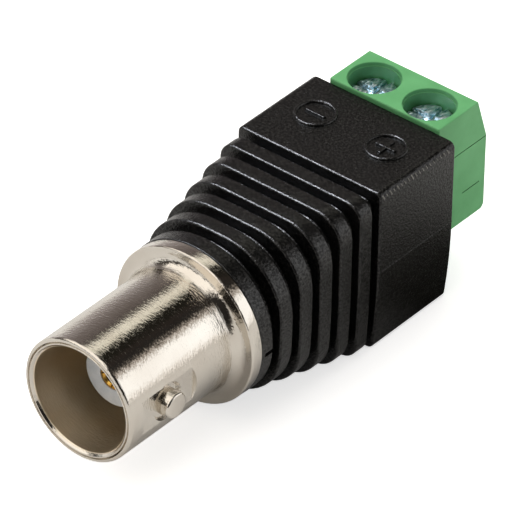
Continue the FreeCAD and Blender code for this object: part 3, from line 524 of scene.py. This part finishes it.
# Sintered ferrite: dark grey and matt, with a powder grain drawn coarser than the real one
FERRITE = dull("sintered_ferrite", "#2B2A2B", "#3A393A", 0.75, 0.1, 0.02)
# Polyurethane enamel on copper wire: a clear red brown
COPPER = metal("enamelled_copper_wire", "#A8552C", "#C56B38", 0.28, 0.4, 0.004)


def section(side, bottom, top, upper, lower, lean=0.0, ridge=0.0, middle=0.0):
    """The sleeve's outline as (x, z) points, anticlockwise from the middle of its underside."""
    foot = side - lean
    half = [((foot - lower) * step / TOP_STEPS, bottom) for step in range(TOP_STEPS)]
    half += bow((foot - lower, bottom + lower), lower, -90, 0, CORNER_STEPS)
    drop = middle - bottom - lower
    for step in range(1, SIDE_STEPS + 1):
        height = bottom + lower + (drop - SEAM) * step / SIDE_STEPS
        half.append((side - lean * ((middle - height) / drop) ** 2, height))
    half.append((side + ridge, middle))
    rise = top - upper - middle
    half += [(side, middle + SEAM + (rise - SEAM) * step / SIDE_STEPS) for step in range(SIDE_STEPS)]
    half += bow((side - upper, top - upper), upper, 0, 90, CORNER_STEPS)
    half += [((side - upper) * (1 - step / TOP_STEPS), top) for step in range(1, TOP_STEPS + 1)]
    return half + [(-across, up) for across, up in reversed(half[1:-1])]


def sleeve_section(place, depth):
    """The sleeve's section, place ribs in front of the square end and some depth below its skin."""
    if place == 0:
        side, top, (upper, lower), lean = BLOCK_SIDE, BLOCK_TOP, BLOCK_CORNERS, DRAFT
    else:
        side = BLOCK_SIDE + (FRONT_SIDE - BLOCK_SIDE) * place / RIBS
        top = BLOCK_TOP + (FRONT_TOP - BLOCK_TOP) * place / RIBS
        upper = lower = REAR_CORNER + (FRONT_CORNER - REAR_CORNER) * (place - 1) / (RIBS - 1) - depth
        lean = DRAFT * (RIBS - place) / (2 * RIBS)
    return section(side - depth, depth - top, top - depth, upper, lower, lean, 0.0 if place else RIDGE)


def sleeve_rows():
    """Rows along the outside of the sleeve: where, which rib and how far below its skin."""
    rows = []
    for place in range(RIBS, -1, -1):
        start = BLOCK_FRONT - place * PITCH
        end = start + LAND if place else BLOCK_REAR
        rear = THIN_EDGE if place else EDGE
        front = THIN_EDGE if place == RIBS else EDGE
        rows += [(along, place, depth) for along, depth in bow((start + front, front), front, 180, 270, 4)]
        lengths = 1 if place else 8
        rows += [(start + front + (end - start - front - rear) * step / lengths, place, 0.0)
                 for step in range(1, lengths)]
        rows += [(along, place, depth) for along, depth in bow((end - rear, rear), rear, 270, 360, 4)]
        if place:
            floor = GROOVE - ROOT
            rows += [(along, place, depth) for along, depth in bow((end + ROOT, floor), ROOT, 180, 90, 4)]
            behind = start + PITCH - ROOT
            rows += [(along, place, depth) for along, depth in bow((behind, floor), ROOT, 90, 0, 4)]
    return rows


def raised_ring(across, along, radius, line, rise, segments=72):
    """A rounded raised line in a circle on top of the sleeve."""
    profile = [(line / 2, -MARK_SINK)]
    profile += [(line / 2 * x, rise * z) for x, z in bow((0, 0), 1.0, 0, 180, 8)]
    profile.append((-line / 2, -MARK_SINK))
    rings = []
    for step in range(segments):
        out, on = cos(tau * step / segments), sin(tau * step / segments)
        rings.append([(across + (radius + x) * out, along + (radius + x) * on, BLOCK_TOP + z)
                      for x, z in profile])
    return lofted(rings, closed=True)


def raised_bar(across, along, half_length, half_width, rise):
    """A rounded raised bar on top of the sleeve."""
    bar = box_mesh((across - half_length, along - half_width, BLOCK_TOP - MARK_SINK),
                   (across + half_length, along + half_width, BLOCK_TOP + rise))
    return bevelled(bar, 0.06)


def make_sleeve():
    """The black sleeve, one moulding: ribs, square end, cavity and the raised plus and minus."""
    rings = [[(x, along, z) for x, z in sleeve_section(place, depth)]
             for along, place, depth in sleeve_rows()]
    side, top = BLOCK_SIDE - WALL, BLOCK_TOP - WALL
    bottom = TERMINAL_BOTTOM + TONGUE_STEP - PLAY
    mouth = section(side, bottom, top, CAVITY_EDGE, CAVITY_EDGE, middle=CAVITY_MIDDLE)
    wide = section(side, bottom, top, CAVITY_CORNER, CAVITY_CORNER, middle=CAVITY_MIDDLE)
    narrow = sleeve_section((BLOCK_FRONT - SPIGOT_END) / PITCH, WALL)
    neck = SPIGOT + PLAY
    circle = [(neck * x / hypot(x, z), neck * z / hypot(x, z)) for x, z in narrow]
    for outline, along in ((mouth, BLOCK_REAR), (wide, BLOCK_FRONT), (narrow, SPIGOT_END),
                           (circle, SPIGOT_END), (circle, FLANGE_REAR)):
        rings.append([(x, along, z) for x, z in outline])
    low, high = NOTCH_HEIGHTS
    rib_rear = FLANGE_REAR + LAND
    notches = [box_mesh((side - NOTCH_DEPTH, rib_rear - NOTCH_LENGTH, low),
                        (side + NOTCH_DEPTH, rib_rear + 0.3, high)) for side in (-FRONT_SIDE, FRONT_SIDE)]
    parts = [carved(lofted(rings, closed=True), *notches)]
    across, along = MARK_PLACE
    for place in (-across, across):
        parts.append(raised_ring(place, along, MARK_RADIUS - MARK_LINE / 2, MARK_LINE, MARK_RISE))
        parts.append(raised_bar(place, along, MARK_BAR / 2, MARK_LINE / 2, MARK_RISE))
    parts.append(raised_bar(across, along, MARK_LINE / 2, MARK_BAR / 2, MARK_RISE - 0.01))
    return finish_piece("ribbed_sleeve", joined(*parts), BLACK, ["housing"], sharp=35)


def make_edge_strokes():
    """Short strokes along the sleeve's upper right edge, grey as a painted highlight."""
    stroke = bevelled(box_mesh([-half for half in STROKE_SIZE], STROKE_SIZE), 0.04, 2)
    turn = Matrix.Rotation(radians(-STROKE_ANGLE), 4, "Y") @ Matrix.Rotation(radians(STROKE_LEAN), 4, "X")
    corner = BLOCK_CORNERS[0]
    reach = corner - STROKE_SINK
    start = (BLOCK_SIDE - corner + reach * cos(radians(STROKE_ANGLE)), BLOCK_FRONT + STROKE_START,
             BLOCK_TOP - corner + reach * sin(radians(STROKE_ANGLE)))
    count = int((BLOCK_REAR - BLOCK_FRONT - STROKE_MARGIN) / STROKE_PITCH)
    # The strokes' grey is a painted highlight along the edge
    strokes = repeated(moved(stroke, turn), EDGE_HIGHLIGHT_PAINT, Count=count, Start=start, Step=(0, STROKE_PITCH, 0),
                       Smallest=0.55, Seed=4)
    finish_piece("edge_strokes_painted_highlight", strokes, EDGE_HIGHLIGHT_PAINT, ["housing"])


def with_flats(point):
    """Press a point of the barrel in where the flats under the lugs are milled."""
    across, along, up = point
    if hypot(across, up) < FLAT or along > BARREL_END - ROOT_CURVE:
        return point
    half = (BARREL ** 2 - FLAT ** 2) ** 0.5
    if abs(across) > FLAT - 0.001 and abs(up) <= half + 0.001:
        fade = max(0.0, 1 - abs(along - FLAT_ENDS[1]) / FLAT_FADE)
        inside = FLAT_ENDS[0] < along < FLAT_ENDS[1]
        along += FLAT_BOW * (1 - (up / half) ** 2) * fade
        if inside:
            across = FLAT if across > 0 else -FLAT
    return Vector((across, along, up))


def lug_stand(side):
    """Where a shape about the Y axis stands as a lug on one side of the barrel."""
    return Matrix.Translation((0, LUG_PLACE, 0)) @ Matrix.Rotation(-side * pi / 2, 4, "Z")


def make_shell():
    """The jack's shell, turned from bar: rim, barrel with flats, hollow root, flange and spigot."""
    # Rows along the barrel, close together where the flats begin and end
    barrel = [RIM + 0.3] + [0.8 + 0.45 * step for step in range(21)]
    for end in FLAT_ENDS:
        barrel += [end - 0.03, end, end + 0.03]
    tag_face = SPIGOT_END - TAG_DEPTH
    front, rear = FLANGE_EDGES
    outside, inside = RIM_LINE_SIDES
    profile = [(CHAMFER, BORE), (BORE_END, BORE), (BORE_END, NECK), (POCKET_START, NECK),
               (POCKET_START, POCKET), (tag_face, POCKET), (tag_face, TAG_SEAT), (SPIGOT_END, TAG_SEAT),
               (SPIGOT_END, SPIGOT), (FLANGE_REAR, SPIGOT)]
    profile += bow((FLANGE_REAR - rear, FLANGE - rear), rear, 0, 90, 4)
    profile += bow((BARREL_END + front, FLANGE - front), front, 90, 180, 6)
    profile += bow((BARREL_END - ROOT_CURVE, BARREL + ROOT_CURVE), ROOT_CURVE, 0, -90, 14)
    profile += [(along, BARREL) for along in sorted(barrel, reverse=True)]
    profile += bow((RIM, BARREL - RIM), RIM, 90, 180, 6)
    profile += [(0.0, RIM_LINE + outside), (RIM_LINE_DEPTH, RIM_LINE), (0.0, RIM_LINE - inside),
                (0.0, BORE + CHAMFER), (0.12, BORE + 0.1)]
    edge = atan2((BARREL ** 2 - FLAT ** 2) ** 0.5, FLAT)
    angles = sorted([tau * step / 240 for step in range(240)] + [edge, pi - edge, pi + edge, tau - edge])
    inner, floor, outer = RECESS_RADII
    recess = [(FLAT - RECESS_DEPTH, inner), (LUG_TIP, inner), (LUG_TIP, outer), (FLAT + 0.05, outer),
              (FLAT - RECESS_DEPTH, floor)]
    rings = [moved(turned(recess, segments=64), lug_stand(side)) for side in (-1, 1)]
    parts = [carved(turned(profile, angles=angles, shape=with_flats), *rings)]
    lug = [(FLAT - LUG_SINK, 0.0), (FLAT - LUG_SINK, LUG_RADIUS)]
    lug += bow((LUG_TIP - LUG_EDGE, LUG_RADIUS - LUG_EDGE), LUG_EDGE, 90, 0, 6) + [(LUG_TIP, 0.0)]
    for side in (-1, 1):
        parts.append(moved(turned(lug, closed=False, segments=64), lug_stand(side)))
    finish_piece("bayonet_shell", joined(*parts), NICKEL, ["jack_shell"])


def make_insides_of_jack():
    """The pale insulator and the gilt contact with its sprung, slotted socket."""
    nose, waist = NECK - PLAY, POCKET - PLAY
    insulator = [(NOSE_FACE, SOCKET + PLAY), (SHOULDER, SOCKET + PLAY), (SHOULDER, TAIL + PLAY),
                 (INSULATOR_END, TAIL + PLAY), (INSULATOR_END, waist), (POCKET_START, waist),
                 (POCKET_START, nose)]
    insulator += bow((NOSE_FACE + NOSE_EDGE, nose - NOSE_EDGE), NOSE_EDGE, 90, 180, 4)
    finish_piece("insulator", turned(insulator), WHITE, ["jack_insulator"])
    bore_end = NOSE_FACE + PIN_DEPTH
    contact = [(NOSE_FACE + 0.15, PIN_BORE), (bore_end, PIN_BORE), (bore_end + DRILL_POINT, 0.0),
               (TAIL_END, 0.0), (TAIL_END, TAIL - 0.1), (TAIL_END - 0.1, TAIL), (SHOULDER, TAIL),
               (SHOULDER, SOCKET)]
    contact += bow((NOSE_FACE + SOCKET_EDGE, SOCKET - SOCKET_EDGE), SOCKET_EDGE, 90, 180, 4)
    contact.append((NOSE_FACE, PIN_BORE + 0.12))
    slots = [box_mesh((-x, NOSE_FACE - 1, -z), (x, NOSE_FACE + SLOT_LENGTH, z))
             for x, z in ((SLOT_HALF, 2), (2, SLOT_HALF))]
    finish_piece("slotted_contact", carved(turned(contact), *slots), GILT, ["centre_contact"])


def terminal_openings(pole):
    """What one pole cuts out of the terminal: its well, screw hole, cage chamber and wire entry."""
    floor = HEAD_TOP - HEAD_HEIGHT - SCREW_PLAY
    seat = floor - SEAT_THICKNESS
    lip = 0.06
    well = [(floor, 0.0), (floor, WELL - lip), (WELL_LEDGE, WELL - PLAY)]
    well += bow((WELL_LEDGE + lip, WELL - PLAY), lip, 180, 90, 3)
    well += [(TERMINAL_TOP - 0.1, WELL + 0.04), (TERMINAL_TOP - 0.03, WELL + lip),
             (TERMINAL_TOP, WELL + WELL_LIP), (TERMINAL_TOP + 1, WELL + WELL_LIP), (TERMINAL_TOP + 1, 0.0)]
    hole = SHANK + SCREW_PLAY
    shaft = [(seat - 0.5, 0.0), (seat - 0.5, hole), (floor + 0.5, hole), (floor + 0.5, 0.0)]
    left, right = pole - CHAMBER, pole + CHAMBER
    chamber = box_mesh((left, SCREW_AXIS - CHAMBER_REACH, CHAMBER_BOTTOM),
                       (right, SCREW_AXIS + CHAMBER_REACH, seat))
    passage = box_mesh((left, TONGUE_FRONT - 1, CHAMBER_BOTTOM),
                       (right, SCREW_AXIS - CHAMBER_REACH + 0.5, PASSAGE_TOP))
    low, high = ENTRY_HEIGHTS
    entry = []
    for along, grow in ((SCREW_AXIS + 1, 0.0), (TERMINAL_REAR - FUNNEL, 0.0),
                        (TERMINAL_REAR + 0.2, FUNNEL + 0.2)):
        half = ENTRY + grow
        entry.append([(pole - half, along, low - grow), (pole + half, along, low - grow),
                      (pole + half, along, high + grow), (pole - half, along, high + grow)])
    return [upright(well, pole), upright(shaft, pole, 48), chamber, passage, lofted(entry)]


def make_terminal():
    """The green moulding: screw wells with a ledge, cage chambers and funnelled wire entries."""
    outline = [(BLOCK_REAR, TERMINAL_BOTTOM)]
    outline += bow((TERMINAL_REAR - FOOT_CURVE, TERMINAL_BOTTOM + FOOT_CURVE), FOOT_CURVE, -90, 0, 6)
    outline += [(TERMINAL_REAR, TERMINAL_TOP - SLOPE_DROP), (TERMINAL_REAR - SLOPE_RUN, TERMINAL_TOP),
                (BLOCK_REAR, TERMINAL_TOP)]
    body = lofted([[(side, along, up) for along, up in outline]
                   for side in (-TERMINAL_SIDE, TERMINAL_SIDE)])
    tongue_side = BLOCK_SIDE - WALL - PLAY
    tongue = box_mesh((-tongue_side, TONGUE_FRONT, TERMINAL_BOTTOM + TONGUE_STEP),
                      (tongue_side, BLOCK_REAR + PLAY, BLOCK_TOP - WALL - PLAY))
    front = box_mesh((-9, BLOCK_REAR - 0.1, BLOCK_TOP - 0.4),
                     (9, BLOCK_REAR + FRONT_GAP, BLOCK_TOP + FRONT_STEP))
    cutters = [front] + terminal_openings(-POLE) + terminal_openings(POLE)
    for up, start, end in SEAMS:
        for side in (-TERMINAL_SIDE, TERMINAL_SIDE):
            cutters.append(box_mesh((side - SEAM_DEPTH, start, up - SEAM_HALF),
                                    (side + SEAM_DEPTH, end, up + SEAM_HALF)))
    parts = [carved(bevelled(part, width), *cutters)
             for part, width in ((body, 0.14), (tongue, 0.05))]
    finish_piece("terminal_block", joined(*parts), GREEN, ["terminal_body"])


def threaded(across, low, high):
    """A screw's shank with its thread, as one helical skin."""
    rows = int((high - low) / THREAD_PITCH * THREAD_ROWS)
    rings = []
    for row in range(rows + 1):
        up = low + (high - low) * row / rows
        ring = []
        for step in range(THREAD_POINTS):
            turn = step / THREAD_POINTS
            wave = abs(((up / THREAD_PITCH - turn) % 1.0) * 2 - 1)
            radius = SHANK - THREAD_DEPTH * wave * min(1.0, (high - up) / THREAD_PITCH)
            ring.append((across + radius * cos(tau * turn), SCREW_AXIS + radius * sin(tau * turn), up))
        rings.append(ring)
    return lofted(rings)


def make_screws():
    """The clamp screws: low domed heads with a cross cut, and M2 threads."""
    screws = []
    for pole, across in (("minus", -POLE), ("plus", POLE)):
        bottom = HEAD_TOP - HEAD_HEIGHT
        head = [(bottom, 0.0), (bottom, HEAD_RADIUS - 0.05), (bottom + 0.05, HEAD_RADIUS)]
        head += [(HEAD_TOP - drop, HEAD_RADIUS - inset) for drop, inset in HEAD_CURVE] + [(HEAD_TOP, 0.0)]
        cuts = []
        for half_x, half_y in ((HEAD_RADIUS + 0.1, CROSS_HALF), (CROSS_HALF, HEAD_RADIUS + 0.1)):
            rings = []
            for up, grow in ((HEAD_TOP - CROSS_DEPTH, -0.08), (HEAD_TOP + 0.1, 0.03)):
                rings.append([(across + x * (half_x + grow), SCREW_AXIS + y * (half_y + grow), up)
                              for x, y in ((-1, -1), (1, -1), (1, 1), (-1, 1))])
            cuts.append(lofted(rings))
        body = bevelled(carved(upright(head, across), *cuts), 0.04, 2)
        body = joined(body, threaded(across, SHANK_END, bottom + PLAY))
        node = f"{pole}_screw"
        screws.append(finish_piece(f"{pole}_clamp_screw", body, ZINC, [node], node))
    return screws


def wire_loop(across, heights, corner, radius):
    """One turn of wire round a core's section, standing in the XZ plane."""
    low, high = heights
    near, far = across
    path = bow((far - corner, low + corner), corner, -90, 0, 3)
    path += bow((far - corner, high - corner), corner, 0, 90, 3)
    path += bow((near + corner, high - corner), corner, 90, 180, 3)
    path += bow((near + corner, low + corner), corner, 180, 270, 3)
    turns = [tau * step / 8 for step in range(8)]
    rings = []
    for place, (out, up) in enumerate(path):
        before = path[place - 1]
        after = path[(place + 1) % len(path)]
        way = Vector((after[1] - before[1], before[0] - after[0])).normalized() * radius
        rings.append([(out + way.x * cos(turn), radius * sin(turn), up + way.y * cos(turn))
                      for turn in turns])
    return lofted(rings, closed=True)


def softened(name, node, material, width, body="body", extra=()):
    """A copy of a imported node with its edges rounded, and what is added to it."""
    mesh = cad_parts[node].data.copy()
    mesh.transform(IN_FRAME.inverted())
    form = bmesh.new()
    form.from_mesh(mesh)
    bmesh.ops.remove_doubles(form, verts=form.verts, dist=0.0005)
    bmesh.ops.dissolve_limit(form, angle_limit=radians(1), verts=form.verts, edges=form.edges)
    form.to_mesh(mesh)
    form.free()
    finish_piece(name, joined(bevelled(mesh, width, 2), *extra), material, [node], body)


def make_inner_pieces():
    """The small pieces inside, with the edges that stamping, folding and soldering give."""
    softened("shell_tag", "ground_tag", TIN, 0.04)
    for pole in ("minus", "plus"):
        softened(f"{pole}_clamp_cage", f"{pole}_cage", CAGE, 0.06, f"{pole}_cage")
        softened(f"{pole}_contact_strip", f"{pole}_strip", TIN, 0.04)
        softened(f"{pole}_strip_solder", f"{pole}_solder", SOLDER, 0.05)
    softened("tail_solder", "contact_solder", SOLDER, 0.05)
    softened("tag_solder", "ground_solder", SOLDER, 0.05)
    softened("lead_joints", "lead_solder", SOLDER, 0.03)
    softened("printed_board", "circuit_board", BOARD, 0.03)
    softened("ring_core", "transformer_core", FERRITE, 0.03)
    half = LAYER / 2
    middle = sum(span("transformer_core", 1)) / 2 - MOUTH
    bottom, top = [place - AXIS for place in span("transformer_core", 2)]
    across = (CORE_HOLE - half, span("transformer_core", 0)[1] + half)
    for name, node, start in (("first_coil", "primary_winding", 180),
                              ("second_coil", "secondary_winding", 0)):
        loop = wire_loop(across, (bottom - half, top + half), COIL_CORNER, half + 0.01)
        first = radians(start - COIL_STEP * (COIL_TURNS - 1) / 2)
        turns = repeated(loop, COPPER, Count=COIL_TURNS, Start=(0, middle, 0), First=(0, 0, first),
                         Turn=(0, 0, radians(COIL_STEP)), Smallest=0.985, Seed=7)
        softened(name, node, COPPER, 0.03, extra=[turns])


# The camera, fitted to the photograph, with its angles in degrees
AZIMUTH = 38.93
ELEVATION = 36.42
ROLL = 1.07
LENS = 445.3
DISTANCE = 442.25
AIM = (-0.61, 0.38, 7.73)

# The card on the floor: its reach, its glow to the camera, and where its painted shade of the object lies,
# seen only in reflections
CARD_REACH = 2000
CARD_GLOW = 0.65
PAINTED_SHADE_PLACE = (9, 15, 0)
PAINTED_SHADE_REACH = (4, 14)

# What stands round the object in the studio, by angle from the right horizon over the top:
# first behind it, as the barrel mirrors it, then in front, round the dark place of the camera
WORLD_LEVEL = 1.45
BEHIND = [(0, "#E4DFDA"), (10, "#FFFFFF"), (36, "#FFFFFF"), (47, "#A09890"), (54, "#3A3632"),
          (60, "#1E1D1C"), (70, "#2A2522"), (76, "#1A1916"), (93, "#1C1B17"), (98, "#D0CCBF"),
          (113, "#E4E0D4"), (117, "#3A3833"), (121, "#3A3833"), (124, "#564F4D"), (150, "#6B6462"),
          (180, "#A29C9C")]
IN_FRONT = [(0, "#55524E"), (15, "#1E1C1A"), (62, "#2A2826"), (76, "#F8F2EA"), (146, "#F8F2EA"),
            (152, "#2E2A26"), (163, "#3A3632"), (172, "#DAD8D4")]

# Each lamp's place, size and watts, and whether it only gleams on the sleeve and the screws
LAMPS = [("over", (-60, 70, 260), 220, 0.2, False), ("behind", (-150, 160, 150), 120, 0.08, False),
         ("gleam", (-117, -65, 221), 140, 1.7, True)]


def set_camera():
    """The camera where the photograph was taken from."""
    turn, height = radians(AZIMUTH), radians(ELEVATION)
    back = Vector((sin(turn) * cos(height), -cos(turn) * cos(height), sin(height)))
    camera = bpy.data.objects.new("camera", bpy.data.cameras.new("camera"))
    bpy.context.collection.objects.link(camera)
    camera.data.lens = LENS
    camera.data.sensor_width = 36
    camera.data.clip_end = 10
    stand = (-back).to_track_quat("-Z", "Y").to_matrix() @ Matrix.Rotation(radians(ROLL), 3, "Z")
    camera.matrix_world = Matrix.Translation((Vector(AIM) + back * DISTANCE) * MM) @ stand.to_4x4()
    bpy.context.scene.camera = camera


def make_floor():
    """A pale card that shows white to the camera, and a painted shade beside the sleeve to glossy rays."""
    reach = CARD_REACH * MM
    corners = [(-reach, -reach, 0), (reach, -reach, 0), (reach, reach, 0), (-reach, reach, 0)]
    floor = bpy.data.objects.new("floor", mesh_of(corners, [(0, 1, 2, 3)]))
    bpy.context.collection.objects.link(floor)
    material, tree, shader, place = new_material("matt_white_card", Roughness=0.9, Specular_IOR_Level=0.1)
    path = add_node(tree, "ShaderNodeLightPath")
    from_sleeve = add_node(tree, "ShaderNodeVectorMath", {"operation": "DISTANCE"},
                           {0: place, 1: Vector(PAINTED_SHADE_PLACE) * MM})
    near, far = PAINTED_SHADE_REACH
    # Painted shade: the card's colour darkens near the sleeve, for glossy rays only
    painted_shade_fade = add_node(tree, "ShaderNodeMapRange", inputs={
        "Value": from_sleeve.outputs["Value"], "From Min": near * MM, "From Max": far * MM})
    floor_painted_shade = add_node(tree, "ShaderNodeValToRGB", inputs={"Fac": painted_shade_fade.outputs["Result"]},
                      stops=[(0.0, "#50504B"), (1.0, "#F6F6F6")])
    tone = add_node(tree, "ShaderNodeMix", {"data_type": "RGBA"}, {
        0: path.outputs["Is Glossy Ray"], 6: linear("#F6F6F6"), 7: floor_painted_shade.outputs["Color"]})
    tree.links.new(tone.outputs[2], shader.inputs["Base Color"])
    glow = add_node(tree, "ShaderNodeMath", {"operation": "MULTIPLY"},
                    {0: path.outputs["Is Camera Ray"], 1: CARD_GLOW})
    shader.inputs["Emission Color"].default_value = linear("#FFFFFF")
    tree.links.new(glow.outputs[0], shader.inputs["Emission Strength"])
    floor.data.materials.append(material)


def surround():
    """The studio round the object: soft boxes beside, over and before it, as bright metal mirrors them."""
    world = bpy.data.worlds.new("studio")
    bpy.context.scene.world = world
    world.use_nodes = True
    tree = world.node_tree
    way = add_node(tree, "ShaderNodeTexCoord").outputs["Generated"]
    parts = add_node(tree, "ShaderNodeSeparateXYZ", inputs={"Vector": way}).outputs
    angle = add_node(tree, "ShaderNodeMath", {"operation": "ARCTAN2"}, {0: parts["Z"], 1: parts["X"]})
    turn = add_node(tree, "ShaderNodeMapRange", inputs={
        "Value": angle.outputs[0], "From Min": 0.0, "From Max": pi}).outputs["Result"]
    before, beyond = [add_node(tree, "ShaderNodeValToRGB", inputs={"Fac": turn},
                               stops=[(place / 180, text) for place, text in tones]).outputs["Color"]
                      for tones in (IN_FRONT, BEHIND)]
    side = add_node(tree, "ShaderNodeMapRange", inputs={
        "Value": parts["Y"], "From Min": -0.2, "From Max": 0.35}).outputs["Result"]
    both = add_node(tree, "ShaderNodeMix", {"data_type": "RGBA"}, {0: side, 6: before, 7: beyond})
    background = tree.nodes["Background"]
    tree.links.new(both.outputs[2], background.inputs["Color"])
    background.inputs["Strength"].default_value = WORLD_LEVEL


def hang_lamps(gleaming):
    """The lamps: two soft ones that aren't mirrored, and one that only gleams on the pieces given."""
    for name, place, size, power, gleams in LAMPS:
        light = bpy.data.lights.new(name, "AREA")
        light.size = size * MM
        light.energy = power
        light.color = linear("#EAF0FA")[:3] if gleams else (1, 1, 1)
        lamp = bpy.data.objects.new(name, light)
        bpy.context.collection.objects.link(lamp)
        lamp.location = Vector(place) * MM
        lamp.rotation_euler = (-lamp.location).to_track_quat("-Z", "Y").to_euler()
        lamp.visible_glossy = gleams
        lamp.visible_diffuse = not gleams
        if gleams:
            lit = bpy.data.collections.new("gleaming")
            for piece in gleaming:
                lit.objects.link(piece)
            lamp.light_linking.receiver_collection = lit


set_camera()
make_floor()
surround()
sleeve = make_sleeve()
make_edge_strokes()
make_shell()
make_insides_of_jack()
make_terminal()
screws = make_screws()
make_inner_pieces()
hang_lamps([sleeve] + screws)

bpy.context.scene.view_settings.view_transform = "Standard"
